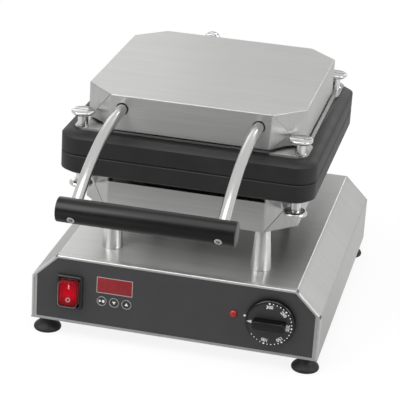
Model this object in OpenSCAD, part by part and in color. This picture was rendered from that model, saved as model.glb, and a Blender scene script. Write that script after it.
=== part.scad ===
// Waffle cone maker: two hinged baking plates on a sheet steel base with its controls.
// Millimetres. X runs to the right, Y to the back, Z up from the surface it stands on.

/* [Base] */
// Width of the base
base_w = 300; // [280:1:360]
// Distance from the front of the base to the front of the baking plates
deck_front = 7; // [3:0.5:20]
// Distance from the back of the baking plates to the back of the base
deck_back = 52; // [46:0.5:70]
// Height of the upright side walls
side_h = 48; // [42:1:60]
// Height of the deck above the underside
deck_h = 73.5; // [66:0.5:90]
// Width of each slope between deck and side
slope_w = 26; // [18:0.5:32]
// Sheet thickness of hood, panels and bottom
sheet = 1.5; // [1:0.1:2]
// Thickness of the folded front edge of the hood
hem = 2.6; // [2.2:0.1:3.5]
// Depth of that folded front edge
hem_d = 6; // [4:0.5:10]
// Width of the flanges inside the hood at its bottom and back
flange_w = 12; // [10:0.5:16]
// Diameter of the relief holes where two folds meet
relief_d = 2; // [1:0.1:2.4]

/* [Feet] */
// Height of a rubber foot
foot_h = 17; // [12:0.5:24]
// Diameter of a foot where it stands
foot_d = 28.6; // [22:0.2:32]
// Diameter of its neck
foot_neck_d = 14; // [12.5:0.5:18]
// Distance from the side of the base to the middle of a foot
foot_in_x = 13.5; // [13:0.5:24]
// Distance from the front or back of the base to the middle of a foot
foot_in_y = 14.5; // [14:0.5:24]

/* [Pillars] */
// Height of a pillar between deck and lower cover
pillar_h = 45.7; // [30:0.1:70]
// Diameter at its foot
pillar_low_d = 22; // [19:0.5:26]
// Diameter at its top
pillar_top_d = 16.5; // [14:0.5:19]
// Distance of the pillars from the middle, sideways
pillar_x = 78; // [70:0.5:84]
// Distance of the pillars from the middle of the plates, front to back
pillar_y = 97.5; // [80:0.5:100]

/* [Baking plates] */
// Width of a plate
plate_w = 260; // [250:1:280]
// Depth of a plate
plate_d = 269; // [255:1:285]
// Thickness of a plate with its rim
plate_t = 21; // [19:0.5:26]
// Corner radius of a plate
plate_r = 22; // [14:0.5:28]
// Height of the bevel round the back of a plate
bevel_h = 3.5; // [2:0.5:5]
// Width of that bevel
bevel_w = 6; // [3:0.5:8]
// Gap between the two closed plates
seam = 0.4; // [0.3:0.1:0.8]
// Side of the square pocket in the back of a plate
pocket_w = 196; // [190:1:200]
// Depth of that pocket
pocket_h = 9; // [8.9:0.1:12]
// Diameter of the baking area
waffle_d = 206; // [180:1:210]
// Depth of the baking area in each plate
waffle_h = 1.6; // [1.2:0.1:2.4]
// Pitch of the cone lattice
lattice_pitch = 14; // [11:0.5:20]
// Width of a lattice rib
lattice_rib = 2.4; // [1.6:0.1:3]
// Height of a lattice rib
lattice_h = 0.9; // [0.6:0.1:1.1]
// Width of the fat groove round the baking area
groove_w = 5; // [3:0.5:6]

/* [Carriers and covers] */
// Thickness of the sheet that carries a plate
carrier_t = 2; // [1.5:0.1:3]
// How far a carrier stands out beside its cover
carrier_lip = 4.2; // [3:0.1:7]
// How far its corner tabs stand out
tab_lip = 7.7; // [7.2:0.1:10]
// Length of a corner tab
tab_l = 40; // [34:1:50]
// How far a carrier reaches behind the cover
carrier_tail = 13; // [12:0.5:16]
// Open gap between carrier and cover
vent = 3; // [2.9:0.1:5]
// Distance from the side of a plate to the cover
cover_in_x = 18.7; // [17:0.1:21]
// Distance from the front or back of a plate to the cover
cover_in_y = 19.1; // [17:0.1:21]
// Height of a cover
cover_h = 36.3; // [34:0.1:46]
// Length that the folded corners take from each side
corner_cut = 30; // [26:0.5:34]
// Sheet thickness of the covers
cover_t = 1.2; // [1:0.1:1.6]
// How far the corner fold's tip stands out of the corner's plane
fold_out = 1.4; // [0:0.1:2]
// How far its seam leans in at the open edge
fold_in = 3; // [0:0.1:4]

/* [Thumb screws] */
// Diameter of a thumb screw's head
knurl_d = 24; // [18:0.5:26]
// Thickness of the head
knurl_h = 4.5; // [3:0.5:6]
// Diameter of its shoulder
shoulder_d = 10.5; // [8:0.5:12]
// Height of the shoulder
shoulder_h = 12.5; // [10:0.5:16]
// Thread diameter
thread_d = 6; // [5:0.5:6]
// Distance of the screws from the side of the plate
screw_in_x = 19.5; // [18:0.5:20.5]
// Distance of the screws from the front or back of the plate
screw_in_y = 25.5; // [24:0.5:28]

/* [Handle] */
// Diameter of a handle rod
rod_d = 11; // [9:0.5:12]
// Distance of a rod from the middle
rod_x = 69; // [62:0.5:72]
// Depth of the rods' middle below the top of the cover
rod_drop = 14; // [12:0.5:16]
// Length of rod in front of the cover before its bend
rod_lead = 15; // [8:0.5:24]
// Radius of the rods' bend
rod_r = 240; // [180:1:300]
// Angle of the rods' bend
rod_a = 32; // [24:0.5:36]
// Straight length from the bend to the middle of the grip
rod_end = 19; // [14:0.5:26]
// Diameter of the grip
grip_d = 23.5; // [20:0.5:30]
// Length of the grip
grip_l = 168; // [155:1:190]

/* [Hinge] */
// Distance from the back of the plates to the hinge axis
hinge_back = 14; // [13:0.5:18]
// Diameter of the hinge pin
pin_d = 8; // [6:0.5:9]
// Thickness of a hinge ear
ear_t = 4; // [3:0.5:5]
// Radius of an ear round the pin
ear_r = 9; // [8:0.5:10]
// Thickness of a hinge leaf
leaf_t = 2.5; // [2:0.1:2.7]
// Width of a leaf with its ear
leaf_w = 24; // [20:1:28]
// From a plate's side edge in to the inner hinge ear's outer face
ear_in = 32; // [31:0.5:36]
// Largest opening angle of the lid
lid_open = 100; // [92:1:104]

/* [Front controls] */
// Distance of the front plate's edge to the foil, at the sides
foil_side = 2.6; // [1.5:0.1:6]
// Thickness of the control foil
foil_t = 0.4; // [0.3:0.1:0.6]
// Distance of the mains switch from the left side
switch_in = 41; // [34:0.5:44]
// Height of the switch above the base's underside
switch_z = 35.7; // [33:0.1:38]
// Width of the switch frame
switch_w = 27; // [25:0.5:29]
// Height of the switch frame
switch_h = 36.5; // [34:0.5:38]
// How far the switch frame stands out
switch_out = 3; // [2:0.5:4]
// Width of the rocker
rocker_w = 19; // [17:0.5:20]
// Height of the rocker
rocker_h = 27; // [25:0.5:28]
// Angle that the rocker tips through
rocker_a = 16; // [10:1:18]
// Distance of the display window's middle from the left side
display_in = 87.8; // [86:0.1:90]
// Height of the display window above the base's underside
display_z = 47.9; // [46:0.1:52]
// Width of the display window
display_w = 36.5; // [32:0.5:40]
// Height of the display window
display_h = 16.4; // [13:0.1:18]
// Height of the row of buttons above the base's underside
button_z = 30.1; // [28:0.1:31]
// Pitch of the buttons
button_pitch = 13.1; // [12.4:0.1:14]
// Diameter of a button
button_d = 10.4; // [8:0.1:11]
// Travel of a button
button_travel = 0.5; // [0.3:0.1:0.6]
// Distance of the pilot lamp from the right side
lamp_in = 88.5; // [86:0.5:92]
// Height of the pilot lamp above the base's underside
lamp_z = 38.7; // [34:0.1:42]
// Diameter of the pilot lamp's lens
lamp_d = 8; // [6:0.5:9]
// Distance of the thermostat's shaft from the right side
dial_in = 49.5; // [46:0.5:52]
// Height of the thermostat's shaft above the base's underside
dial_z = 37; // [34:0.5:38]
// Diameter of the dial's skirt
dial_d = 50.5; // [44:0.5:54]
// Thickness of the skirt
dial_t = 7; // [5:0.5:9]
// Length of the dial's grip bar
bar_l = 34; // [28:0.5:40]
// Width of the grip bar
bar_w = 11; // [8:0.5:14]
// Height of the grip bar
bar_h = 9; // [6:0.5:12]
// Diameter of the thermostat's shaft
shaft_d = 6; // [5:0.5:7]

/* [Inside and cable] */
// Outer diameter of the flexible conduit
conduit_d = 17; // [14:0.5:18]
// Place of the conduit from the middle
conduit_x = -36; // [-50:1:-30]
// Depth of the conduit's outlet below the top of the cover
conduit_drop = 14; // [13:0.5:16]
// Distance of the conduit's gland from the back of the deck
conduit_in = 21; // [19:0.5:24]
// Distance of the mains gland from the right side
gland_in = 45; // [40:1:60]
// Height of the mains gland above the underside
gland_z = 30; // [20:1:40]
// Diameter of a tubular heater
heater_d = 8; // [6.5:0.1:8]
// Number of straight runs of a heater
heater_runs = 6; // [4:2:8]
// Thickness of the insulation mats
mat_t = 18; // [10:1:18]
// Bore of the mains gland
gland_bore = 8.5; // [7:0.5:10]
// How far the mains gland stands out of the back
gland_out = 15; // [12:0.5:18]

/* [Hidden] */
$fn = 48;

play = 0.2;          // clearance round a piece that is fitted in a cut-out
gap = 0.3;           // clearance round a key or a rocker that moves
run = 0.05;          // radial clearance of a shaft that turns
eps = 1;             // how far a cutting tool runs past a face

// Widths and depths that follow from each other
deck_w = base_w - 2 * slope_w;
base_d = deck_front + plate_d + deck_back;
cover_w = plate_w - 2 * cover_in_x;
cover_d = plate_d - 2 * cover_in_y;
carrier_w = cover_w + 2 * carrier_lip;
tab_w = cover_w + 2 * tab_lip;

// Levels and places, from the ground up and from the front of the base to the back
head_y = deck_front + plate_d / 2;
screw_x = plate_w / 2 - screw_in_x;
screw_y = plate_d / 2 - screw_in_y;
base_z = foot_h;
deck_z = base_z + deck_h;
head_h = plate_t + carrier_t + vent + cover_h;
seam_z = deck_z + pillar_h + head_h;
cover_front = head_y - cover_d / 2;
cover_back = head_y + cover_d / 2;
hinge_y = head_y + plate_d / 2 + hinge_back;
slope_a = atan2(deck_h - side_h, slope_w);

// The handle, seen from the side
rod_z = seam_z + head_h - rod_drop;
bend_y = cover_front - rod_lead;
grip_y = bend_y - rod_r * sin(rod_a) - rod_end * cos(rod_a);
grip_z = rod_z - rod_r * (1 - cos(rod_a)) - rod_end * sin(rod_a);

// The origin lies under the middle of the whole machine, from grip to mains gland
origin_y = (grip_d / 2 - grip_y - base_d - gland_out) / 2;

// Heads, nuts and threads of the small fasteners
m4 = 4;
m4_head_d = 8;
m4_head_h = 2.4;
m5 = 5;
m5_head_d = 8.5;
m5_head_h = 5;
rivet_d = 5;
rivet_head_d = 8;
rivet_head_h = 2;
rivet_in = 8;        // from the front end of a hinge leaf
rivet_pitch = 14;
tube_d = 10;         // hollow threaded tube inside a pillar
tube_bore = 7;
tube_nut = 15;
tube_nut_h = 5;

// Inside a plate: the heater lies on the pocket's floor, the press sheet on the heater
pocket_z = plate_t - pocket_h;
press_t = pocket_h - heater_d;
carrier_z = plate_t + carrier_t;
heater_x = 66;       // outermost heater runs
heater_y = 66;       // ends of the straight runs
heater_pitch = 2 * heater_x / (heater_runs - 1);
lead_r = 9;          // bend of a heater end up through the carrier
lead_y = heater_y + heater_pitch / 2 + lead_r;
lead_up = 12;
feeler_d = 6;
feeler_l = 80;
feeler_x = heater_x - heater_pitch / 2;
capillary_d = 2;
mat_x = 80;
mat_front = -66;
leaf_in = 62.5;      // from the plate's rear edge to the front end of a hinge leaf
leaf_front = plate_d / 2 - leaf_in;
mat_back = leaf_front - 2;
post_x = cover_w / 2 - 13.3;
post_y = 50;
post_d = 9;

vent_pitch = 16;     // slots in the bottom plate
vent_row = 45;
vent_w = 6;
vent_l = 40;
grip_seat = 5;       // a handle screw's counterbore and thread
grip_thread = 10;

// Thermostat behind the dial, and the margins of the circuit board
thermo_y = 34;
thermo_d = 36;
thermo_front = 4;    // from the front plate to its body
lug_w = 30;
lug_h = 12;
shaft_in = 4.5;      // end of the shaft before the body's back
board_margin = 8;    // beside the display
board_over = 6;      // above the display
board_under = 9;     // below the middle of the buttons
digit_in = 1;        // between the digit block and the window's edge

// Handle blocks inside the upper cover
block_w = 20;
block_l = 36;
block_gap = 6;       // from the cover's front wall
block_over = 9;      // metal above and below the rod's middle

// Hinge, measured from its axis
leaf_top = carrier_z + leaf_t;
ear_gap = 0.5;
ear_x = plate_w / 2 - ear_in;
lower_ear_x = ear_x + ear_gap + ear_t;
stop_y = ear_r * cos(lid_open) + leaf_top * sin(lid_open);
stop_z = -ear_r * sin(lid_open) + leaf_top * cos(lid_open) - 0.3;
stop_t = 4;
stop_l = 6;
ring_t = 1;

// Front controls, placed from the middle and from the face of the foil
switch_x = switch_in - base_w / 2;
display_x = display_in - base_w / 2;
lamp_x = base_w / 2 - lamp_in;
dial_x = base_w / 2 - dial_in;
gland_x = base_w / 2 - gland_in;
switch_deep = 24;    // from the foil to the back of the switch body

// Terminal block on the bottom plate
terminal_x = 40;
terminal_in = 80;    // from the back of the base
terminal_w = 60;
terminal_d = 20;
terminal_h = 18;
plate_y = foil_t + sheet;
board_y = 12.6;
board_t = 1.6;
tact_h = 4.3;
pivot_y = 1;
rocker_out = 5.5;    // from the pivot to the rocker's ends
rocker_dip = 3.7;    // from the pivot to the rocker's middle
rocker_back = 3;
rocker_r = norm([rocker_out, rocker_h / 2]);
pivot_r = 1.5;
dial_gap = 0.8;

// Flexible conduit: a curve from the upper cover's back wall down to the deck
conduit_z = seam_z + head_h - conduit_drop;
conduit_y = base_d - conduit_in;
nut_af = 22;
nut_l = 10;
nut_inner = 4;
thread_l = 16;
conduit_start = [cover_back + nut_l + gap, conduit_z];
conduit_end = [conduit_y, deck_z + nut_l];
conduit_lead = 3;    // straight piece of conduit at each nut
conduit_rise = 16;   // of the curve above its outlet
conduit_near = 7;    // handles of the curve, behind the hinge axis
conduit_far = 29;
conduit_route = [
    conduit_start + [conduit_lead, 0], [hinge_y + conduit_near, conduit_z + conduit_rise],
    [hinge_y + conduit_far, seam_z + conduit_rise], conduit_end + [0, conduit_lead]
];
conduit_rings = 20;

// ---- placing helpers ----

// From the front of the base to the part's own origin
module placed() translate([0, origin_y, 0]) children();

// A flat outline, drawn in X and height above the underside, thickened from y0 to y1
module along_y(y0, y1)
    translate([0, y1, base_z]) rotate([90, 0, 0]) linear_extrude(y1 - y0) children();

// A rod along X, Y or Z between two stations
module rod_x_to(x0, x1, d) translate([x0, 0, 0]) rotate([0, 90, 0]) cylinder(h = x1 - x0, d = d);
module rod_y_to(y0, y1, d) translate([0, y1, 0]) rotate([90, 0, 0]) cylinder(h = y1 - y0, d = d);

module hexagon(af, h) cylinder(h = h, d = af / cos(30), $fn = 6);

// Both sides, and all four corners
module both_sides() for (side = [-1, 1]) scale_x(side) children();
module scale_x(side) mirror([side < 0 ? 1 : 0, 0, 0]) children();
module four(x, y) for (sx = [-1, 1], sy = [-1, 1]) translate([sx * x, sy * y, 0]) children();

// The upper and the lower half, each built upwards from the seam between the plates
module upper_half() placed() translate([0, head_y, seam_z]) children();
module lower_half() placed() translate([0, head_y, seam_z]) mirror([0, 0, 1]) children();

module rounded(w, d, r) {
    square([w - 2 * r, d], center = true);
    square([w, d - 2 * r], center = true);
    for (sx = [-1, 1], sy = [-1, 1])
        translate([sx * (w / 2 - r), sy * (d / 2 - r)]) circle(r);
}

// A rounded slab whose far edge is bevelled; the bevelled part laps over the straight one
module bevelled_end(w, bh, bw) polygon([
    [-w / 2, -eps], [w / 2, -eps], [w / 2, 0], [w / 2 - bw, bh], [bw - w / 2, bh], [-w / 2, 0]
]);
module bevelled_slab(w, d, h, r, bh, bw) {
    linear_extrude(h - bh) rounded(w, d, r);
    translate([0, 0, h - bh]) {
        rotate([90, 0, 0]) linear_extrude(d - 2 * r, center = true) bevelled_end(w, bh, bw);
        rotate([90, 0, 90]) linear_extrude(w - 2 * r, center = true) bevelled_end(d, bh, bw);
        four(w / 2 - r, d / 2 - r) cylinder(h = bh, r1 = r, r2 = r - bw);
    }
}

// ---- base ----

// Outline of the base, drawn inwards by i, from the height low upwards
function outline(i, low) = let (
        s = i * tan((90 - slope_a) / 2),
        k = deck_w / 2 - i * tan(slope_a / 2),
        w = base_w / 2 - i)
    [[-w, low], [-w, side_h - s], [-k, deck_h - i], [k, deck_h - i], [w, side_h - s], [w, low]];

// Where the lower half stands on the deck
module at_pillars() translate([0, head_y, 0]) four(pillar_x, pillar_y) children();
module at_feet()
    for (side = [-1, 1], y = [foot_in_y, base_d - foot_in_y])
        translate([side * (base_w / 2 - foot_in_x), y, 0]) children();
// Screws through the bottom plate, and through the back plate
module at_bottom_screws() {
    for (side = [-1, 1], y = [base_d * 0.2, base_d / 2, base_d * 0.8])
        translate([side * (base_w / 2 - flange_w / 2 - sheet), y, base_z]) children();
    for (side = [-1, 1]) translate([side * base_w / 4, flange_w, base_z]) children();
}
module at_back_screws()
    for (side = [-1, 1], z = [flange_w, side_h * 0.8])
        translate([side * (base_w / 2 - flange_w / 2), base_d, base_z + z])
            rotate([90, 0, 0]) children();

module base_hood() color("silver") placed() difference() {
    union() {
        along_y(0, base_d - sheet) difference() {
            polygon(outline(0, sheet));
            polygon(outline(sheet, 0));
        }
        along_y(0, hem_d) difference() {
            polygon(outline(0, sheet));
            polygon(outline(hem, 0));
        }
        along_y(base_d - 2 * sheet, base_d - sheet) difference() {
            polygon(outline(0, sheet));
            polygon(outline(flange_w, 0));
        }
        for (side = [-1, 1]) scale_x(side)
            translate([base_w / 2 - sheet - flange_w, hem_d + foot_d, base_z + sheet])
                cube([flange_w + sheet, base_d - sheet - hem_d - 2 * foot_d, sheet]);
    }
    at_pillars() translate([0, 0, deck_z - 2 * sheet]) cylinder(h = 3 * sheet, d = tube_d + play);
    at_bottom_screws() cylinder(h = 3 * sheet, d = m4);
    at_back_screws() cylinder(h = 3 * sheet, d = m4);
    translate([conduit_x, conduit_y, deck_z - 2 * sheet]) cylinder(h = 3 * sheet, d = thread_l + play);
    along_y(-eps, hem_d + eps) {
        for (side = [-1, 1]) {
            translate([side * deck_w / 2, deck_h - hem / 2]) circle(d = relief_d);
            translate([side * (base_w - hem) / 2, side_h]) circle(d = relief_d);
        }
    }
}

// Everything that is cut through the front plate and the foil
module front_cuts(edge) {
    translate([switch_x, switch_z])
        square([switch_w - 4 + 2 * edge, switch_h - 4 + 2 * edge], center = true);
    translate([display_x, display_z])
        square([display_w + 2 * edge, display_h + 2 * edge], center = true);
    for (i = [-1:1]) translate([display_x + i * button_pitch, button_z])
        circle(d = button_d + 2 * gap);
    translate([lamp_x, lamp_z]) circle(d = lamp_d + 2 * edge);
    translate([dial_x, dial_z]) circle(d = shaft_d + 4 + 2 * edge);
}

module front_plate() color("gainsboro") placed() {
    difference() {
        union() {
            along_y(foil_t, plate_y) polygon(outline(hem + play, sheet));
            translate([2 * foot_in_x - base_w / 2, foil_t, base_z + sheet])
                cube([base_w - 4 * foot_in_x, 1.5 * flange_w, sheet]);
        }
        along_y(-eps, plate_y + eps) front_cuts(play);
        at_bottom_screws() cylinder(h = 3 * sheet, d = m4);
    }
}

module control_foil() color("#3f3f41") placed() along_y(0, foil_t) difference() {
    edge = hem + 2 * play;
    intersection() {
        polygon(outline(edge, 2 * sheet));
        translate([0, deck_h / 2])
            square([base_w - 2 * (edge + foil_side), 2 * deck_h], center = true);
    }
    front_cuts(play);
}

module bottom_plate() color("lightgray") placed() difference() {
    translate([-base_w / 2, 0, base_z]) cube([base_w, base_d - sheet, sheet]);
    at_bottom_screws() translate([0, 0, -eps]) cylinder(h = 3 * sheet, d = m4);
    at_feet() translate([0, 0, base_z - eps]) cylinder(h = 3 * sheet, d = m5);
    for (row = [-1, 1], i = [-4:4])
        translate([i * vent_pitch - vent_w / 2, base_d / 2 + row * vent_row - vent_l / 2,
            base_z - eps]) cube([vent_w, vent_l, 3 * sheet]);
}

module rear_plate() color("lightgray") placed() difference() {
    along_y(base_d - sheet, base_d) difference() {
        polygon(outline(0, 0));
        for (row = [0:2], i = [-5:5])
            translate([i * 14 - 20, side_h * 0.35 + row * 9]) square([9, 4], center = true);
        translate([gland_x, gland_z]) circle(d = thread_l + play);
    }
    at_back_screws() translate([0, 0, -eps]) cylinder(h = 3 * sheet, d = m4);
}

// Pan head screw, its head on the outside and its thread inwards along +Z
module m4_screw() {
    translate([0, 0, -m4_head_h]) cylinder(h = m4_head_h, d = m4_head_d);
    cylinder(h = 4 * sheet, d = m4);
}
module panel_screws() color("silver") placed() {
    at_bottom_screws() m4_screw();
    at_back_screws() m4_screw();
}

module feet() color("#1c1c1c") placed() at_feet() difference() {
    rotate_extrude() polygon([
        [0, 0], [foot_d / 2 - 1.5, 0], [foot_d / 2, 1.5], [foot_d / 2, foot_h * 0.2],
        [foot_d * 0.42, foot_h * 0.42], [foot_d * 0.31, foot_h * 0.66],
        [foot_neck_d / 2, foot_h * 0.84], [foot_neck_d / 2, foot_h], [0, foot_h]
    ]);
    translate([0, 0, foot_h / 2]) cylinder(h = foot_h, d = m5);
}
module foot_screws() color("silver") placed() at_feet() {
    translate([0, 0, foot_h / 2]) cylinder(h = foot_h / 2 + 3 * sheet + m5_head_h, d = m5);
    translate([0, 0, base_z + sheet]) hexagon(m5_head_d, m5_head_h - 1);
}

module pillars() color("lightsteelblue") placed() at_pillars() translate([0, 0, deck_z])
    difference() {
        cylinder(h = pillar_h, d1 = pillar_low_d, d2 = pillar_top_d);
        translate([0, 0, -eps]) cylinder(h = pillar_h + 2 * eps, d = tube_d + play);
    }
module pillar_tubes() color("goldenrod") placed() at_pillars() {
    low = deck_z - sheet;
    high = deck_z + pillar_h + cover_t;
    difference() {
        union() {
            translate([0, 0, low - tube_nut_h - 2])
                cylinder(h = high - low + 2 * tube_nut_h + 4, d = tube_d);
            translate([0, 0, low - tube_nut_h]) hexagon(tube_nut, tube_nut_h);
            translate([0, 0, high]) hexagon(tube_nut, tube_nut_h);
        }
        translate([0, 0, low - 2 * tube_nut_h])
            cylinder(h = high - low + 4 * tube_nut_h, d = tube_bore);
    }
}

// ---- front controls ----

module switch_frame() color("#161616") placed()
    translate([switch_x, 0, base_z + switch_z]) difference() {
        w = rocker_w + 2 * gap;
        h = 2 * (rocker_r + gap);
        union() {
            rotate([90, 0, 0]) linear_extrude(switch_out) rounded(switch_w, switch_h, 2);
            translate([2 - switch_w / 2, 0, 2 - switch_h / 2])
                cube([switch_w - 4, switch_deep, switch_h - 4]);
        }
        translate([-w / 2, -switch_out - eps, -h / 2])
            cube([w, switch_out + eps + pivot_y + rocker_h * 0.45, h]);
        translate([0, pivot_y, 0])
            rod_x_to(-w / 2 - 1.2, w / 2 + 1.2, 2 * (pivot_r + run));
    }
module switch_rocker() color("#c8002a") placed()
    translate([0, pivot_y, base_z + switch_z]) rotate([-rocker_a / 2, 0, 0]) {
        translate([switch_x + rocker_w / 2, 0, 0]) rotate([90, 0, -90]) linear_extrude(rocker_w)
            intersection() {
                polygon([[rocker_out, rocker_h / 2], [rocker_dip, 0], [rocker_out, -rocker_h / 2],
                         [-rocker_back, -rocker_h * 0.3], [-rocker_back, rocker_h * 0.3]]);
                circle(rocker_r);
            }
        translate([switch_x, 0, 0]) rod_x_to(-rocker_w / 2 - 1, rocker_w / 2 + 1, 2 * pivot_r);
    }

module display_window() color("#a01e28") placed() translate([display_x, 0, base_z + display_z]) {
    translate([-display_w / 2, 0, -display_h / 2]) cube([display_w, plate_y, display_h]);
    translate([-display_w / 2 - 2, plate_y, -display_h / 2 - 2])
        cube([display_w + 4, 1.5, display_h + 4]);
}

// Circuit board with its digit block, key switches and four pillars to the front plate
module timer_board() color("#1f5a36") placed() translate([display_x, 0, base_z]) {
    low = button_z - board_under;
    high = display_z + display_h / 2 + board_over;
    translate([-display_w / 2 - board_margin, board_y, low])
        cube([display_w + 2 * board_margin, board_t, high - low]);
    translate([digit_in - display_w / 2, plate_y + 1.5 + play,
        display_z - display_h / 2 + digit_in])
        cube([display_w - 2 * digit_in, board_y - plate_y - 1.5 - play,
            display_h - 2 * digit_in]);
    for (i = [-1:1]) translate([i * button_pitch, 0, button_z]) {
        translate([-3, board_y - tact_h + 1, -3]) cube([6, tact_h - 1, 6]);
        rod_y_to(board_y - tact_h, board_y, 3.5);
    }
    for (side = [-1, 1], z = [low + 4, high - 2.5])
        translate([side * (display_w / 2 + 5.5), 0, z]) rod_y_to(plate_y, board_y, 4.4);
}

module button(i) placed() translate([display_x + i * button_pitch, 0, base_z + button_z]) {
    rod_y_to(0, plate_y + gap, button_d);
    rod_y_to(plate_y + gap, plate_y + gap + 1, button_d + 2);
    rod_y_to(plate_y + gap + 1, board_y - tact_h - 0.1 - button_travel, 3.5);
}
module button_start() color("#3a3a3c") button(-1);
module button_down() color("#3a3a3c") button(0);
module button_up() color("#3a3a3c") button(1);

module pilot_lamp() color("#c41e28") placed() translate([lamp_x, 0, base_z + lamp_z]) {
    rotate([90, 0, 0]) rotate_extrude() polygon([
        [0, -20], [lamp_d / 2, -20], [lamp_d / 2, 1.2], [lamp_d * 0.36, 2.4], [0, 2.8]
    ]);
    rod_y_to(plate_y, plate_y + 2.5, lamp_d + 4);
}

// Switch body, its threaded bush and the bracket that holds it to the front plate
module thermostat() color("#d8d4c8") placed() translate([dial_x, 0, base_z + dial_z])
    difference() {
        union() {
            rod_y_to(plate_y + thermo_front, thermo_y, thermo_d);
            rod_y_to(plate_y, plate_y + thermo_front, shaft_d + 8);
            translate([-lug_w / 2, plate_y, -lug_h / 2]) cube([lug_w, 1.5, lug_h]);
        }
        rod_y_to(-eps, thermo_y - shaft_in + 0.5 + eps, shaft_d + 2 * run);
    }
module thermostat_shaft() color("silver") placed() translate([dial_x, 0, base_z + dial_z])
    rod_y_to(-dial_gap - dial_t + 1, thermo_y - shaft_in, shaft_d);

module thermostat_dial() color("#262627") placed() translate([dial_x, 0, base_z + dial_z])
    rotate([90, 0, 0]) difference() {
        union() {
            translate([0, 0, dial_gap]) {
                cylinder(h = dial_t * 0.4, d = dial_d);
                translate([0, 0, dial_t * 0.4])
                    cylinder(h = dial_t * 0.6, d1 = dial_d, d2 = dial_d - 6);
            }
            translate([0, 0, dial_gap + dial_t]) linear_extrude(bar_h)
                rounded(bar_l, bar_w, bar_w / 2 - 0.5);
        }
        cylinder(h = dial_gap + dial_t - 1, d = shaft_d);
    }

// Round tube swept along points in space, with rings square to the route
function unit(v) = v / norm(v);
function along(p, i) = unit(p[min(i + 1, len(p) - 1)] - p[max(i - 1, 0)]);
function ring(c, t, r, sides) = let (
        a = unit(cross(abs(t[0]) > 0.9 ? [0, 1, 0] : [1, 0, 0], t)),
        b = cross(t, a))
    [for (k = [0:sides - 1]) c + r * (cos(k * 360 / sides) * a + sin(k * 360 / sides) * b)];
module swept_tube(p, d, sides) {
    n = len(p);
    points = [for (i = [0:n - 1]) each ring(p[i], along(p, i), d / 2, sides)];
    walls = [for (i = [0:n - 2], k = [0:sides - 1]) let (m = (k + 1) % sides)
        [i * sides + k, (i + 1) * sides + k, (i + 1) * sides + m, i * sides + m]];
    ends = [[for (k = [0:sides - 1]) k], [for (k = [sides - 1:-1:0]) (n - 1) * sides + k]];
    polyhedron(points, concat(walls, ends));
}

// Capillary from the thermostat up through a hollow pillar to the feeler in the lower plate
module thermostat_feeler() color("#b87333") placed() {
    bulb_z = seam_z - pocket_z - feeler_d / 2;
    end_y = head_y + feeler_l / 2;
    up_y = head_y + lead_y;
    tube_y = head_y + pillar_y;
    translate([feeler_x, 0, bulb_z]) rod_y_to(head_y - feeler_l / 2, end_y, feeler_d);
    swept_tube([
        [dial_x, thermo_y, base_z + dial_z + 8], [dial_x, thermo_y + 26, base_z + dial_z + 8],
        [dial_x - 10, head_y - 20, base_z + 30], [pillar_x + 6, tube_y - 40, base_z + 30],
        [pillar_x, tube_y - 4, base_z + 38], [pillar_x, tube_y, base_z + 50],
        [pillar_x, tube_y, deck_z], [pillar_x, tube_y, deck_z + pillar_h + 8],
        [pillar_x - 4, tube_y - 1, seam_z - carrier_z - 22],
        [feeler_x + 4, up_y + 2, seam_z - carrier_z - 10],
        [feeler_x, up_y, seam_z - carrier_z + 1], [feeler_x, up_y - 1, seam_z - plate_t + 2],
        [feeler_x, up_y - 8, bulb_z], [feeler_x, end_y - 1, bulb_z]
    ], capillary_d, 8);
}

module terminal_block() color("ivory") placed()
    translate([terminal_x, base_d - terminal_in, base_z + sheet]) difference() {
        union() {
            translate([-terminal_w / 2, -terminal_d / 2, 0])
                cube([terminal_w, terminal_d, terminal_h * 0.55]);
            translate([-terminal_w / 2, -terminal_d * 0.3, terminal_h * 0.55])
                cube([terminal_w, terminal_d * 0.6, terminal_h * 0.45]);
        }
        for (i = [-2:2]) translate([i * terminal_w / 5, 0, terminal_h * 0.28])
            rod_y_to(-terminal_d, terminal_d, 4);
    }

module mains_gland() color("#2a2a2a") placed() translate([gland_x, base_d, base_z + gland_z])
    rotate([-90, 0, 0]) difference() {
        union() {
            translate([0, 0, -sheet - 8]) cylinder(h = sheet + 8, d = thread_l);
            translate([0, 0, -sheet - 5]) hexagon(20, 5);
            hexagon(20, 5);
            translate([0, 0, 5]) cylinder(h = gland_out - 5, d1 = 19, d2 = gland_bore + 4);
        }
        translate([0, 0, -20]) cylinder(h = gland_out + 20 + eps, d = gland_bore);
    }

// ---- the two halves ----

// Corner points of a cover, drawn inwards by i, between the heights low and high
function cover_points(i, low, high) = let (
        a = cover_w / 2 - i,
        b = cover_d / 2 - i,
        sum = (cover_w + cover_d) / 2 - corner_cut - i * sqrt(2),
        mid = [a + sum - b, b + sum - a] / 2,
        tip = high - 0.6 * cover_h)
    [for (k = [0:3]) let (
            sx = k == 0 || k == 3 ? 1 : -1,
            sy = k < 2 ? 1 : -1,
            side = [sx * a, sy * (sum - a)],
            end = [sx * (sum - b), sy * b],
            p = k % 2 == 0 ? side : end,
            q = k % 2 == 0 ? end : side,
            m = [sx * mid[0], sy * mid[1]],
            out = [sx, sy] / sqrt(2))
        each [[p[0], p[1], high], [q[0], q[1], high],
              [m[0] + out[0] * fold_out, m[1] + out[1] * fold_out, tip],
              [p[0], p[1], low],
              [m[0] - out[0] * fold_in, m[1] - out[1] * fold_in, low],
              [q[0], q[1], low]]];
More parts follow.
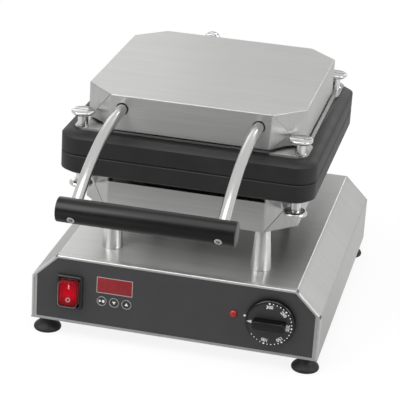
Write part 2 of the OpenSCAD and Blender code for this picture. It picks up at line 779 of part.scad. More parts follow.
cover_faces = concat(
    [[for (k = [3:-1:0]) each [6 * k + 1, 6 * k]]],
    [[for (k = [0:3]) each [6 * k + 3, 6 * k + 4, 6 * k + 5]]],
    [for (k = [0:3]) let (n = 6 * ((k + 1) % 4)) [6 * k + 1, n, n + 3, 6 * k + 5]],
    [for (k = [0:3]) each [
        [6 * k, 6 * k + 1, 6 * k + 2], [6 * k, 6 * k + 2, 6 * k + 3],
        [6 * k + 2, 6 * k + 4, 6 * k + 3], [6 * k + 1, 6 * k + 5, 6 * k + 2],
        [6 * k + 2, 6 * k + 5, 6 * k + 4]]]);

module cover() difference() {
    low = carrier_z + vent;
    polyhedron(cover_points(0, low, head_h), cover_faces);
    polyhedron(cover_points(cover_t, low - eps, head_h - cover_t), cover_faces);
}

// x is the place of the hinge leaf that is riveted to it
module carrier(x) difference() {
    front = -cover_d / 2;
    back = cover_d / 2 + carrier_tail;
    r = 9;
    translate([0, 0, plate_t]) linear_extrude(carrier_t) {
        translate([-carrier_w / 2, front + 4]) square([carrier_w, back - front - 4]);
        for (y = [front + tab_l / 2, back - (tab_l + carrier_tail) / 2])
            translate([0, y]) rounded(tab_w, y < 0 ? tab_l : tab_l + carrier_tail, r);
    }
    translate([0, 0, plate_t - eps]) {
        translate([0, front, 0]) cube([2 * (cover_w / 2 - corner_cut), 8, 9], center = true);
        four(screw_x, screw_y) cylinder(h = 9, d = thread_d + 0.5);
        for (side = [-1, 1]) translate([side * heater_x, lead_y, 0])
            cylinder(h = 9, d = heater_d + 5);
        translate([feeler_x, lead_y, 0]) cylinder(h = 9, d = capillary_d + 4);
        four(post_x, post_y) cylinder(h = 9, d = m4);
        both_sides() at_rivets(x) cylinder(h = 9, d = rivet_d);
    }
}

// Cast plate: face with the baking area towards the seam, pocket for the heater behind
module plate() difference() {
    bevelled_slab(plate_w, plate_d, plate_t, plate_r, bevel_h, bevel_w);
    linear_extrude(seam, center = true) square([2 * plate_w, 2 * plate_d], center = true);
    translate([0, 0, pocket_z])
        linear_extrude(pocket_h + eps) rounded(pocket_w, pocket_w, 6);
    difference() {
        translate([0, 0, -eps]) cylinder(h = waffle_h + eps, d = waffle_d, $fn = 96);
        translate([0, 0, waffle_h - lattice_h]) linear_extrude(lattice_h + eps) lattice();
    }
    translate([0, 0, -eps]) difference() {
        cylinder(h = waffle_h + eps, d = waffle_d + 8 + 2 * groove_w, $fn = 96);
        translate([0, 0, -eps]) cylinder(h = waffle_h + 4 * eps, d = waffle_d + 8, $fn = 96);
    }
    four(screw_x, screw_y) translate([0, 0, plate_t - 15])
        cylinder(h = 15 + eps, d = thread_d + 2 * run);
}
module lattice() intersection() {
    circle(d = waffle_d + 1, $fn = 96);
    for (turn = [-1, 1]) rotate(45 * turn)
        for (i = [-ceil(waffle_d / lattice_pitch / 2):ceil(waffle_d / lattice_pitch / 2)])
            translate([(i + 0.5) * lattice_pitch, 0])
                square([lattice_rib, waffle_d + 9], center = true);
}

// Tubular heater bent to and fro, both ends turned up through the carrier
module heater() translate([0, 0, pocket_z + heater_d / 2]) {
    for (i = [0:heater_runs - 1])
        translate([i * heater_pitch - heater_x, 0, 0]) rod_y_to(-heater_y, heater_y, heater_d);
    for (i = [0:heater_runs - 2]) {
        end = i % 2 == 0 ? -1 : 1;
        translate([(i + 0.5) * heater_pitch - heater_x, end * heater_y, 0])
            rotate(end > 0 ? 0 : 180)
                rotate_extrude(angle = 180) translate([heater_pitch / 2, 0]) circle(d = heater_d);
    }
    for (side = [-1, 1]) translate([side * heater_x, 0, 0]) {
        rod_y_to(heater_y, lead_y - lead_r, heater_d);
        translate([0, lead_y - lead_r, lead_r]) rotate([0, 90, 0])
            rotate_extrude(angle = 90) translate([lead_r, 0]) circle(d = heater_d);
        translate([0, lead_y, lead_r])
            cylinder(h = carrier_z + lead_up - pocket_z - heater_d / 2 - lead_r, d = heater_d);
    }
}
module press_sheet() translate([2 - pocket_w / 2, 2 - pocket_w / 2, plate_t - press_t])
    cube([pocket_w - 4, pocket_w / 2 + heater_y + 4, press_t]);
module mat() translate([-mat_x, mat_front, carrier_z])
    cube([2 * mat_x, mat_back - mat_front, mat_t]);
module cover_posts() four(post_x, post_y) {
    translate([0, 0, plate_t]) cylinder(h = carrier_t, d = m4);
    translate([0, 0, carrier_z]) cylinder(h = vent + cover_h - cover_t, d = post_d);
}

module thumb_screw(sx, sy) translate([sx * screw_x, sy * screw_y, carrier_z]) difference() {
    rotate_extrude() polygon([
        [0, -carrier_t - 12], [thread_d / 2 - 0.6, -carrier_t - 12],
        [thread_d / 2, -carrier_t - 11], [thread_d / 2, 0],
        [shoulder_d / 2 + 1, 0], [shoulder_d / 2 + 1, 1.2], [shoulder_d / 2, 1.6],
        [shoulder_d / 2, shoulder_h], [knurl_d / 2 - 2, shoulder_h + knurl_h * 0.3],
        [knurl_d / 2, shoulder_h + knurl_h * 0.5], [knurl_d / 2, shoulder_h + knurl_h * 0.8],
        [knurl_d / 2 - 1, shoulder_h + knurl_h], [0, shoulder_h + knurl_h]
    ]);
    translate([0, 0, shoulder_h + knurl_h]) cube([knurl_d + 2, 1.6, 2.4], center = true);
}

module lower_cover() color("gainsboro") lower_half() difference() {
    cover();
    four(pillar_x, pillar_y) translate([0, 0, head_h - 2 * cover_t])
        cylinder(h = 3 * cover_t, d = tube_d + play);
}
module lower_carrier() color("lightgray") lower_half() carrier(lower_ear_x);
module lower_plate() color("#2a2a2b") lower_half() plate();
module lower_heater() color("dimgray") lower_half() heater();
module lower_press_sheet() color("lightgray") lower_half() press_sheet();
module lower_mat() color("khaki") lower_half() mat();
module lower_cover_posts() color("silver") lower_half() cover_posts();
module lower_screw_fl() color("gainsboro") lower_half() thumb_screw(-1, -1);
module lower_screw_fr() color("gainsboro") lower_half() thumb_screw(1, -1);
module lower_screw_rl() color("gainsboro") lower_half() thumb_screw(-1, 1);
module lower_screw_rr() color("gainsboro") lower_half() thumb_screw(1, 1);

module upper_cover() color("gainsboro") difference() {
    upper_half() cover();
    placed() translate([0, cover_front, rod_z]) for (side = [-1, 1])
        translate([side * rod_x, 0, 0]) rod_y_to(-3, 3 * cover_t, rod_d + 3);
    placed() translate([conduit_x, cover_back, conduit_z]) rod_y_to(-4, 4, thread_l + play);
}
module upper_carrier() color("lightgray") upper_half() carrier(ear_x);
module upper_plate() color("#2a2a2b") upper_half() plate();
module upper_heater() color("dimgray") upper_half() heater();
module upper_press_sheet() color("lightgray") upper_half() press_sheet();
module upper_mat() color("khaki") upper_half() mat();
module upper_cover_posts() color("silver") upper_half() cover_posts();
module upper_screw_fl() color("gainsboro") upper_half() thumb_screw(-1, -1);
module upper_screw_fr() color("gainsboro") upper_half() thumb_screw(1, -1);
module upper_screw_rl() color("gainsboro") upper_half() thumb_screw(-1, 1);
module upper_screw_rr() color("gainsboro") upper_half() thumb_screw(1, 1);

// ---- handle ----

// Places its children at the middle of the grip above one rod, +Z pointing up the rod
module at_rod_end(side)
    placed() translate([side * rod_x, grip_y, grip_z]) rotate([rod_a - 90, 0, 0]) children();

block_y = cover_front + cover_t + block_gap;
module handle_blocks() color("lightgray") placed() for (side = [-1, 1]) difference() {
    low = seam_z + carrier_z;
    translate([side * rod_x - block_w / 2, block_y, low])
        cube([block_w, block_l, rod_z + block_over - low]);
    translate([side * rod_x, 0, rod_z]) rod_y_to(block_y - eps, block_y + block_l + eps, rod_d);
}

module handle_rod(side) difference() {
    union() {
        placed() translate([side * rod_x, 0, 0]) {
            translate([0, 0, rod_z]) rod_y_to(bend_y, block_y + block_l, rod_d);
            translate([0, bend_y, rod_z - rod_r]) rotate([180, -90, 0])
                rotate_extrude(angle = rod_a, $fn = 240)
                    translate([rod_r, 0]) circle(d = rod_d, $fn = 32);
        }
        at_rod_end(side) translate([0, 0, 2]) cylinder(h = rod_end, d = rod_d - play);
    }
    at_rod_end(side) cylinder(h = 12, d = m5);
}
module handle_rod_left() color("gainsboro") handle_rod(-1);
module handle_rod_right() color("gainsboro") handle_rod(1);

module handle_grip() color("#202021") difference() {
    placed() translate([0, grip_y, grip_z]) rod_x_to(-grip_l / 2, grip_l / 2, grip_d);
    for (side = [-1, 1]) at_rod_end(side) {
        translate([0, 0, 2]) cylinder(h = grip_d, d = rod_d);
        translate([0, 0, -grip_d]) cylinder(h = grip_d + 3, d = m5);
        translate([0, 0, -grip_d - 5]) cylinder(h = grip_d, d = m5_head_d);
    }
}
module grip_screws() color("silver") for (side = [-1, 1]) at_rod_end(side)
    difference() {
        union() {
            translate([0, 0, -grip_seat - m5_head_h])
                cylinder(h = m5_head_h, d = m5_head_d);
            translate([0, 0, -grip_seat]) cylinder(h = grip_seat + grip_thread, d = m5);
        }
        translate([0, 0, -grip_seat - m5_head_h - eps]) hexagon(4, 3.5 + eps);
    }

// ---- hinge ----

// Leaf on the carrier with its ear down to the axis; x is the ear's outer face
module leaf(x, stop) {
    axis_y = hinge_y - head_y;
    difference() {
        union() {
            translate([x - leaf_w, leaf_front, carrier_z])
                cube([leaf_w, axis_y + ear_r - leaf_front, leaf_t]);
            translate([x - ear_t, axis_y - ear_r, 0]) cube([ear_t, 2 * ear_r, leaf_top]);
            translate([0, axis_y, 0]) rod_x_to(x - ear_t, x, 2 * ear_r);
            if (stop) {
                far = stop_y + stop_l;
                translate([x - ear_t, axis_y, -stop_z])
                    cube([ear_t, far, leaf_top + stop_z]);
                translate([x - 2 * ear_t - 2 * ear_gap, axis_y + stop_y - stop_l, -stop_z])
                    cube([2 * ear_t + 2 * ear_gap, 2 * stop_l, stop_t]);
            }
        }
        translate([0, axis_y, 0]) rod_x_to(x - 2 * ear_t, x + eps, pin_d + (stop ? 0 : 2 * run));
        at_rivets(x) translate([0, 0, carrier_z - eps]) cylinder(h = 9, d = rivet_d);
    }
}
module at_rivets(x)
    for (i = [0:1])
        translate([x - ear_t - leaf_w / 2 + 1, leaf_front + rivet_in + i * rivet_pitch, 0])
            children();
module rivets(x) at_rivets(x) {
    translate([0, 0, plate_t]) cylinder(h = carrier_t + leaf_t, d = rivet_d);
    translate([0, 0, leaf_top]) cylinder(h = rivet_head_h, d = rivet_head_d);
}
module lower_hinge_leaves() color("silver") lower_half() both_sides() leaf(lower_ear_x, true);
module upper_hinge_leaves() color("silver") upper_half() both_sides() leaf(ear_x, false);
module lower_rivets() color("silver") lower_half() both_sides() rivets(lower_ear_x);
module upper_rivets() color("silver") upper_half() both_sides() rivets(ear_x);

pin_half = lower_ear_x + 2 * ring_t + 1.5;
module hinge_pin() color("silver") placed() translate([0, hinge_y, seam_z]) difference() {
    rod_x_to(-pin_half, pin_half, pin_d);
    both_sides() translate([lower_ear_x + play, 0, 0]) difference() {
        rod_x_to(0, ring_t, pin_d + 2);
        rod_x_to(-eps, ring_t + eps, pin_d - 1);
    }
}
module pin_rings() color("dimgray") placed() translate([0, hinge_y, seam_z]) both_sides()
    translate([lower_ear_x + play, 0, 0]) difference() {
        rod_x_to(0, ring_t, pin_d + 5);
        rod_x_to(-eps, ring_t + eps, pin_d - 1);
        translate([-eps, -1, -pin_d - 5]) cube([ring_t + 2 * eps, 2, pin_d + 5]);
    }

// ---- flexible conduit ----

function bezier(p, t) =
    pow(1 - t, 3) * p[0] + 3 * t * pow(1 - t, 2) * p[1] + 3 * t * t * (1 - t) * p[2]
    + pow(t, 3) * p[3];
module conduit() color("lightgray") placed() {
    curve = [for (i = [0:conduit_rings]) bezier(conduit_route, i / conduit_rings)];
    route = concat([conduit_start], curve, [conduit_end]);
    swept_tube([for (q = route) [conduit_x, q[0], q[1]]], conduit_d, 12);
}

// Nut outside a wall of the thickness t, thread through it, and lock nut inside
module conduit_nut(t) difference() {
    union() {
        hexagon(nut_af, nut_l - 2);
        cylinder(h = nut_l, d = conduit_d + 1.5);
        translate([0, 0, -t - nut_inner - 2]) cylinder(h = t + nut_inner + 2, d = thread_l);
        translate([0, 0, -t - nut_inner]) hexagon(nut_af, nut_inner);
    }
    translate([0, 0, -t - nut_inner - 3]) cylinder(h = t + nut_inner + nut_l, d = 12);
}
module conduit_nut_upper() color("silver") placed()
    translate([conduit_x, cover_back, conduit_z]) rotate([-90, 0, 0]) conduit_nut(cover_t);
module conduit_nut_lower() color("silver") placed()
    translate([conduit_x, conduit_y, deck_z]) conduit_nut(sheet);

base_hood();
front_plate();
control_foil();
bottom_plate();
rear_plate();
panel_screws();
feet();
foot_screws();
pillars();
pillar_tubes();
switch_frame();
switch_rocker();
display_window();
timer_board();
button_start();
button_down();
button_up();
pilot_lamp();
thermostat();
thermostat_shaft();
thermostat_dial();
thermostat_feeler();
terminal_block();
mains_gland();
lower_cover();
lower_carrier();
lower_plate();
lower_heater();
lower_press_sheet();
lower_mat();
lower_cover_posts();
lower_screw_fl();
lower_screw_fr();
lower_screw_rl();
lower_screw_rr();
upper_cover();
upper_carrier();
upper_plate();
upper_heater();
upper_press_sheet();
upper_mat();
upper_cover_posts();
upper_screw_fl();
upper_screw_fr();
upper_screw_rl();
upper_screw_rr();
handle_blocks();
handle_rod_left();
handle_rod_right();
handle_grip();
grip_screws();
lower_hinge_leaves();
upper_hinge_leaves();
lower_rivets();
upper_rivets();
hinge_pin();
pin_rings();
conduit();
conduit_nut_upper();
conduit_nut_lower();
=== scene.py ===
from math import atan2, cos, pi, radians, sin

import bmesh
import bpy
from mathutils import Matrix, Vector


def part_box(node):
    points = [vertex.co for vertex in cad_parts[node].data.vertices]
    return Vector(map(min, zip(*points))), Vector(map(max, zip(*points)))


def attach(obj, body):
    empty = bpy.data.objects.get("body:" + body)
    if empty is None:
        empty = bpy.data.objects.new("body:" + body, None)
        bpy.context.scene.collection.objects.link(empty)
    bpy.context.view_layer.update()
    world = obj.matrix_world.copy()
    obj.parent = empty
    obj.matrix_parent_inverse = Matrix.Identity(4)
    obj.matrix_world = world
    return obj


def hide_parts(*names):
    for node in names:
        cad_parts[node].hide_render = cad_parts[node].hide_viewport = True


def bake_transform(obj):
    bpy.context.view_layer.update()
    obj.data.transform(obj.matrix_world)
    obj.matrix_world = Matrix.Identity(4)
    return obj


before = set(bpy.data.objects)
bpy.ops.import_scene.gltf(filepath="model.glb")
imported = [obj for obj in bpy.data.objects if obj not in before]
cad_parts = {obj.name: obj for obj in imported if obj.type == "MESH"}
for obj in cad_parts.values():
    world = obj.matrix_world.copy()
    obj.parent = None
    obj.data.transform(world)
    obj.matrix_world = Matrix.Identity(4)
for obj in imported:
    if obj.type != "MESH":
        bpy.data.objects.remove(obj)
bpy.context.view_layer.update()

bpy.ops.object.select_all(action="DESELECT")


# ---- Camera ----
# It stands in front of the maker, a little to its right and above, and is rolled slightly.

camera = bpy.data.objects.new("camera", bpy.data.cameras.new("camera"))
bpy.context.scene.collection.objects.link(camera)
stand = (0.340, -1.6235283, 0.815)
turn, down, roll = radians(11.84), radians(22.41), radians(3.5)
ahead = Vector((-sin(turn) * cos(down), cos(turn) * cos(down), -sin(down)))
level = Vector((cos(turn), sin(turn), 0))
upright = level.cross(ahead)
to_right = cos(roll) * level + sin(roll) * upright
to_top = cos(roll) * upright - sin(roll) * level
camera.matrix_world = Matrix.Translation(stand) @ Matrix(
    (to_right, to_top, -ahead)).transposed().to_4x4()
camera.data.lens = 154.62
camera.data.sensor_width = 36
camera.data.clip_end = 60
bpy.context.scene.camera = camera
bpy.context.scene.view_settings.view_transform = "Standard"


# ---- Floor and studio light ----
# A pale floor that runs out into a pale surround, under large soft lamps.
# The camera and clear pieces see both as white, and the floor keeps the maker's shadow.
# Shiny pieces see a dimmer room, which is darkest in front of the maker.

def hex_colour(code):
    """An sRGB hex colour as linear red, green, blue and alpha."""
    parts = [int(code[i:i + 2], 16) / 255 for i in (1, 3, 5)]
    return [c / 12.92 if c <= 0.04045 else ((c + 0.055) / 1.055) ** 2.4 for c in parts] + [1]


def add(tree, kind, inputs=(), **settings):
    """Adds a node with its settings. Its inputs, by name or in order, get a value or a link
    from a socket; a node stands for its first output."""
    node = tree.nodes.new(kind)
    for name, value in settings.items():
        setattr(node, name, value)
    for name, value in (inputs if isinstance(inputs, dict) else dict(enumerate(inputs))).items():
        if isinstance(value, bpy.types.Node):
            value = value.outputs[0]
        if isinstance(value, bpy.types.NodeSocket):
            tree.links.new(value, node.inputs[name])
        else:
            node.inputs[name].default_value = value
    return node


white = (1, 1, 1, 1)
# How far white covers the paint for the camera, and the dimmer floor for reflections.
white_share, dim_share = 0.86, 0.8
floor_paint = bpy.data.materials.new("matt_white_floor_paint")
floor_paint.use_nodes = True
tree = floor_paint.node_tree
tree.nodes.clear()
ray = add(tree, "ShaderNodeLightPath")
seen = add(tree, "ShaderNodeMath", (ray.outputs["Is Camera Ray"],
                                    ray.outputs["Is Transmission Ray"]), operation="MAXIMUM")
share = add(tree, "ShaderNodeMath", (seen, white_share), operation="MULTIPLY")
paint = add(tree, "ShaderNodeBsdfDiffuse", {"Color": hex_colour("#f4f4f3")})
glow = add(tree, "ShaderNodeEmission", (white, 1))
plain = add(tree, "ShaderNodeMixShader", (share, paint, glow))
axes = add(tree, "ShaderNodeSeparateXYZ", (add(tree, "ShaderNodeNewGeometry"),))
# Each range is a stretch of the floor in metres and the brightness it shows at its two ends.
away = add(tree, "ShaderNodeMapRange", (axes.outputs["Y"], -0.34, 0.15, 0.24, 0.8))
left = add(tree, "ShaderNodeMapRange", (axes.outputs["X"], -0.42, 0.04, 0.75, 0))
right = add(tree, "ShaderNodeMapRange", (axes.outputs["X"], 0.2, 0.5, 0, 0.8))
sides = add(tree, "ShaderNodeMath", (left, right), operation="MAXIMUM")
bright = add(tree, "ShaderNodeMath", (away, sides), operation="MAXIMUM")
mirrored = add(tree, "ShaderNodeEmission", (white, bright))
share = add(tree, "ShaderNodeMath", (ray.outputs["Is Glossy Ray"], dim_share),
            operation="MULTIPLY")
mix = add(tree, "ShaderNodeMixShader", (share, plain, mirrored))
add(tree, "ShaderNodeOutputMaterial", (mix,))
bpy.ops.mesh.primitive_plane_add(size=40, location=(0, 0, 0))
floor = bpy.context.object
floor.name = "floor"
floor.data.materials.append(floor_paint)

world = bpy.data.worlds.new("studio")
bpy.context.scene.world = world
world.use_nodes = True
tree = world.node_tree
tree.nodes.clear()
ray = add(tree, "ShaderNodeLightPath")
seen = add(tree, "ShaderNodeMath", (ray.outputs["Is Camera Ray"],
                                    ray.outputs["Is Transmission Ray"]), operation="MAXIMUM")
axes = add(tree, "ShaderNodeSeparateXYZ", (add(tree, "ShaderNodeTexCoord"),))
behind = add(tree, "ShaderNodeMapRange", (axes.outputs["Y"], -0.9, 0.3, 0.24, 0.72))
# The brightness of the surround on matt pieces, in reflections and to the camera.
lift, room, backdrop = [add(tree, "ShaderNodeBackground", (white, level))
                        for level in (0.56, behind, 1)]
mirrored = add(tree, "ShaderNodeMixShader", (ray.outputs["Is Glossy Ray"], lift, room))
mix = add(tree, "ShaderNodeMixShader", (seen, mirrored, backdrop))
add(tree, "ShaderNodeOutputWorld", (mix,))

middle = Vector((0, 0.04, 0.12))
for name, at, size, power in (("key_lamp", (-1.5, -1.3, 1.9), 1.7, 34),
                              ("fill_lamp", (1.9, -0.5, 1.2), 1.0, 14),
                              ("top_lamp", (0.1, -0.8, 2.3), 2.2, 28),
                              ("back_lamp", (-0.95, 2.1, 1.1), 0.9, 1.5),
                              ("left_edge_lamp", (-1.1, 2.0, 0.5), 0.3, 0.7),
                              ("right_edge_lamp", (0.42, 2.0, 1.0), 0.3, 2.6)):
    lamp = bpy.data.objects.new(name, bpy.data.lights.new(name, "AREA"))
    bpy.context.scene.collection.objects.link(lamp)
    lamp.data.shape, lamp.data.size, lamp.data.energy = "SQUARE", size, power
    lamp.location = at
    lamp.rotation_euler = (middle - Vector(at)).to_track_quat("-Z", "Y").to_euler()


# ---- Base hood ----
# One sheet of brushed stainless steel, 1.5 mm, folded into two walls, two slopes and the deck.
# Its front edge is turned back as a narrow rim, with small relief holes at the folds.

def alone(*pieces):
    """Selects these pieces and no others, with the first one active."""
    bpy.ops.object.select_all(action="DESELECT")
    for piece in pieces:
        piece.select_set(True)
    bpy.context.view_layer.objects.active = pieces[0]


def settled(piece):
    """Writes a piece's place, turn and scale into its mesh."""
    alone(piece)
    bpy.ops.object.transform_apply(location=True, rotation=True, scale=True)
    return piece


def opened(piece, kind="VERT"):
    """Opens a piece in edit mode with everything selected."""
    alone(piece)
    bpy.ops.object.mode_set(mode="EDIT")
    bpy.ops.mesh.select_mode(type=kind)
    bpy.ops.mesh.select_all(action="SELECT")
    return piece


def cube(size, at, tilt=(0, 0, 0)):
    """Adds a cube of that size at its place, turned by the angles in degrees."""
    bpy.ops.mesh.primitive_cube_add(size=1, location=at, scale=size,
                                    rotation=[radians(a) for a in tilt])
    return bpy.context.object


def block(size, at):
    """A cube of that size at its place, opened in edit mode."""
    return opened(settled(cube(size, at)))


def cylinder(sides, radius, length, at=(0, 0, 0), tilt=(0, 0, 0)):
    """Adds a cylinder or a prism at its place, turned by the angles in degrees."""
    bpy.ops.mesh.primitive_cylinder_add(vertices=sides, radius=radius, depth=length,
                                        location=at, rotation=[radians(a) for a in tilt])
    return bpy.context.object


def pick(kind, test):
    """Selects the faces, edges or points in edit mode whose place and direction pass the test."""
    bpy.ops.mesh.select_mode(type=kind)
    bpy.ops.mesh.select_all(action="DESELECT")
    mesh = bpy.context.edit_object.data
    shape = bmesh.from_edit_mesh(mesh)
    for part in {"FACE": shape.faces, "EDGE": shape.edges, "VERT": shape.verts}[kind]:
        if kind == "FACE":
            at, way = part.calc_center_median(), part.normal
        elif kind == "EDGE":
            at = (part.verts[0].co + part.verts[1].co) / 2
            way = (part.verts[0].co - part.verts[1].co).normalized()
        else:
            at, way = part.co, part.normal
        if test(at, way):
            part.select_set(True)
    shape.select_flush_mode()
    bmesh.update_edit_mesh(mesh)


def rounded(test, width, steps):
    """Bevels the edges that pass the test, in that many steps."""
    pick("EDGE", test)
    bpy.ops.mesh.bevel(offset=width, segments=steps)


def pull(x, y, z):
    """Extrudes the selected faces along that way."""
    bpy.ops.mesh.extrude_region_move(TRANSFORM_OT_translate={"value": (x, y, z)})


def resize(factors, about):
    """Scales what is selected about a point."""
    bpy.ops.transform.resize(value=factors, center_override=about)


def close_edit(mend=False):
    """Back to object mode. Mending first merges doubled points and turns the faces outwards."""
    if mend:
        bpy.ops.mesh.select_all(action="SELECT")
        bpy.ops.mesh.remove_doubles(threshold=1e-6)
        bpy.ops.mesh.normals_make_consistent(inside=False)
    bpy.ops.object.mode_set(mode="OBJECT")
    return bpy.context.object


def worked(piece, kind, **settings):
    """Adds a modifier with its settings and applies it."""
    alone(piece)
    change = piece.modifiers.new(kind, kind)
    for name, value in settings.items():
        setattr(change, name, value)
    bpy.ops.object.modifier_apply(modifier=change.name)
    return piece


def cut(piece, cutter):
    """Cuts the second piece out of the first and removes it."""
    worked(piece, "BOOLEAN", operation="DIFFERENCE", solver="EXACT", object=cutter)
    bpy.data.objects.remove(cutter)
    return piece


def fit(piece, name, body, finish, slot, *stands_for, smooth=30):
    """Names a finished piece and gives it its finish, its body and the CAD nodes it replaces."""
    piece.name = piece.data.name = name
    settled(piece)
    bpy.ops.object.shade_smooth_by_angle(angle=radians(smooth))
    piece.data.materials.clear()
    piece.data.materials.append(finish)
    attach(piece, body)
    if stands_for:
        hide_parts(*stands_for)


def shaded(tree, tone, marks, dark, light, gloss, relief, spread, strength):
    """Joins a finish together: over spread the tone takes its colour from dark to light, tone
    also sets its roughness within gloss, and marks give it that much relief in mm."""
    shader = tree.nodes["Principled BSDF"]
    tint = add(tree, "ShaderNodeValToRGB", (tone,))
    for stop, at, code in zip(tint.color_ramp.elements, spread, (dark, light)):
        stop.position, stop.color = at, hex_colour(code)
    rough = add(tree, "ShaderNodeMapRange", (tone, 0.3, 0.7, *gloss))
    bump = add(tree, "ShaderNodeBump", {"Height": marks, "Strength": strength,
                                        "Distance": relief / 1000})
    for name, node in (("Base Color", tint), ("Roughness", rough), ("Normal", bump)):
        tree.links.new(node.outputs[0], shader.inputs[name])


def metal(name, dark, light, grain, gloss, relief, patches=10, brushed=0):
    """Bare metal: grain is the size of its marks in mm along x, y and z, gloss its range of
    roughness, relief the depth of the marks in mm, patches the size of its soft clouds in
    marks and brushed how far its reflections are drawn out across the marks."""
    finish = bpy.data.materials.new(name)
    finish.use_nodes = True
    tree = finish.node_tree
    shader = tree.nodes["Principled BSDF"]
    shader.inputs["Metallic"].default_value = 1
    coords = add(tree, "ShaderNodeTexCoord")
    place = coords.outputs["Object"]
    if brushed:
        across = add(tree, "ShaderNodeCombineXYZ", (0, 1, 0.05))
        tree.links.new(across.outputs[0], shader.inputs["Tangent"])
        shader.inputs["Anisotropic"].default_value = brushed
        # The marks run round the folds: along z on the sides, along x on the front and back.
        axes = add(tree, "ShaderNodeSeparateXYZ", (coords.outputs["Normal"],))
        facing = add(tree, "ShaderNodeMath", (axes.outputs["Y"],), operation="ABSOLUTE")
        facing = add(tree, "ShaderNodeMath", (facing, 0.8), operation="GREATER_THAN")
        squeeze = add(tree, "ShaderNodeMapRange", {0: facing, "To Min": grain[2] / grain[0]})
        scale = add(tree, "ShaderNodeCombineXYZ", (1, 1, squeeze))
        place = add(tree, "ShaderNodeVectorMath", (place, scale), operation="MULTIPLY")
    fine = add(tree, "ShaderNodeMapping", {"Vector": place,
                                           "Scale": [1000 / size for size in grain]})
    marks = add(tree, "ShaderNodeTexNoise", {"Vector": fine, "Scale": 1, "Detail": 3,
                                             "Roughness": 0.6})
    clouds = add(tree, "ShaderNodeTexNoise", {"Vector": fine, "Scale": 1 / patches, "Detail": 2})
    tone = add(tree, "ShaderNodeMix", {0: 0.45, 2: marks, 3: clouds})
    shaded(tree, tone, marks, dark, light, gloss, relief, spread=(0.36, 0.64), strength=0.5)
    return finish


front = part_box("control_foil")[0].y
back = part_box("rear_plate")[1].y
underside, fold_z, deck_z = 0.017, 0.065, 0.0905
sheet, rim, rim_depth = 0.0015, 0.0026, 0.006
sheet_low = underside + sheet
half_width, half_deck = 0.150, 0.124
fold_radius, edge_radius, relief_hole = 0.0016, 0.0014, 0.0016

# Brushed 1.4301 sheet: long fine scratches along x that blur every reflection sideways.
# The real scratches are 0.05 mm apart; they are drawn at 1 mm so that they show.
brushed_stainless = metal("brushed_stainless_sheet", "#bfbfbe", "#c9c9c8", (60, 1, 1),
                          (0.34, 0.39), 0.002, 4, brushed=0.9)


def folded_sheet(start, end, thickness):
    """The hood's folded profile between two stations, its thickness drawn inwards."""
    piece = block((2 * half_width, end - start, fold_z - sheet_low),
                  (0, (start + end) / 2, (sheet_low + fold_z) / 2))
    pick("FACE", lambda at, way: way.z > 0.9)
    pull(0, 0, deck_z - fold_z)
    resize((half_deck / half_width, 1, 1), (0, 0, deck_z))
    pick("FACE", lambda at, way: abs(way.y) > 0.9 or way.z < -0.9)
    bpy.ops.mesh.delete(type="FACE")
    rounded(lambda at, way: abs(way.y) > 0.9 and at.z > fold_z - 0.001, fold_radius, 4)
    close_edit()
    return worked(piece, "SOLIDIFY", thickness=thickness, offset=-1, use_even_offset=True)


def outside(at, way):
    """Whether an edge lies on the outline of the rim's front, above the walls' lower ends."""
    over, up = abs(at.x) - half_deck, at.z - fold_z
    slope = over / (half_width - half_deck) + up / (deck_z - fold_z)
    return abs(at.y - front) < 1e-5 and at.z > sheet_low + 0.001 and (
        abs(at.x) > half_width - 0.001 or at.z > deck_z - 0.001
        or slope > 0.95 and up > 0 and over > 0)


hood = folded_sheet(front + rim_depth, back - sheet, sheet)
edge = opened(folded_sheet(front, front + rim_depth, rim))
pick("FACE", lambda at, way: way.y < -0.9)
bpy.ops.mesh.dissolve_faces()
rounded(outside, edge_radius, 4)
close_edit()
for x, z in ((half_deck + 0.0002, deck_z - 0.0013), (half_width - 0.0013, fold_z - 0.0002)):
    for side in (-1, 1):
        cut(edge, cylinder(20, relief_hole, 0.02, (side * x, front, z), (90, 0, 0)))
fit(hood, "base_hood_sheet", "base", brushed_stainless, "stainless", "base_hood")
# The turned front edge is ground and polished, and its colour is set lighter than the brushed sheet
# as a painted highlight for the light that catches its fold.
ground_edge_painted_highlight = metal("ground_stainless_edge_painted_highlight", "#cececd", "#d9d9d8", (4, 4, 4), (0.42, 0.5), 0.002)
# The rim's lighter colour is a painted highlight along the fold.
fit(edge, "base_hood_rim", "base", ground_edge_painted_highlight, "stainless", smooth=40)


# ---- Front, bottom and rear plates ----
# Flat stainless panels that close the hood: the front one carries the controls, the bottom one
# has air slots, the rear one air slots and the mains gland.

def coat(finish, *names):
    """Gives CAD nodes that stay as they are their finish."""
    for name in names:
        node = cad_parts[name]
        if not node.material_slots:
            node.data.materials.append(finish)
        for place in node.material_slots:
            place.material = finish


# Cold rolled sheet with a mill finish: duller and cloudier than the brushed hood.
mill_sheet = metal("mill_finish_steel_sheet", "#b2b3b3", "#c6c7c7", (3, 3, 3), (0.36, 0.5), 0.002)
coat(brushed_stainless, "front_plate")
coat(mill_sheet, "bottom_plate", "rear_plate")


# ---- Panel screws ----
# Zinc plated M4 pan head screws with a cross recess, twelve of them under the base and behind.

def drawn(points):
    """Opens a new piece in edit mode: a line drawn point by point."""
    bpy.ops.mesh.primitive_plane_add(size=0.001)
    opened(bpy.context.object)
    bpy.ops.mesh.merge(type="CENTER")
    bpy.ops.transform.translate(value=points[0])
    for here, there in zip(points, points[1:]):
        bpy.ops.mesh.extrude_vertices_move(
            TRANSFORM_OT_translate={"value": [b - a for a, b in zip(here, there)]})
    bpy.ops.mesh.select_all(action="SELECT")


def turned(outline, steps=40):
    """A turned piece about Z: its half outline of (radius, height) in mm is drawn and spun."""
    drawn([(radius / 1000, 0, height / 1000) for radius, height in outline])
    bpy.ops.mesh.spin(steps=steps, angle=2 * pi, center=(0, 0, 0), axis=(0, 0, 1))
    return close_edit(mend=True)


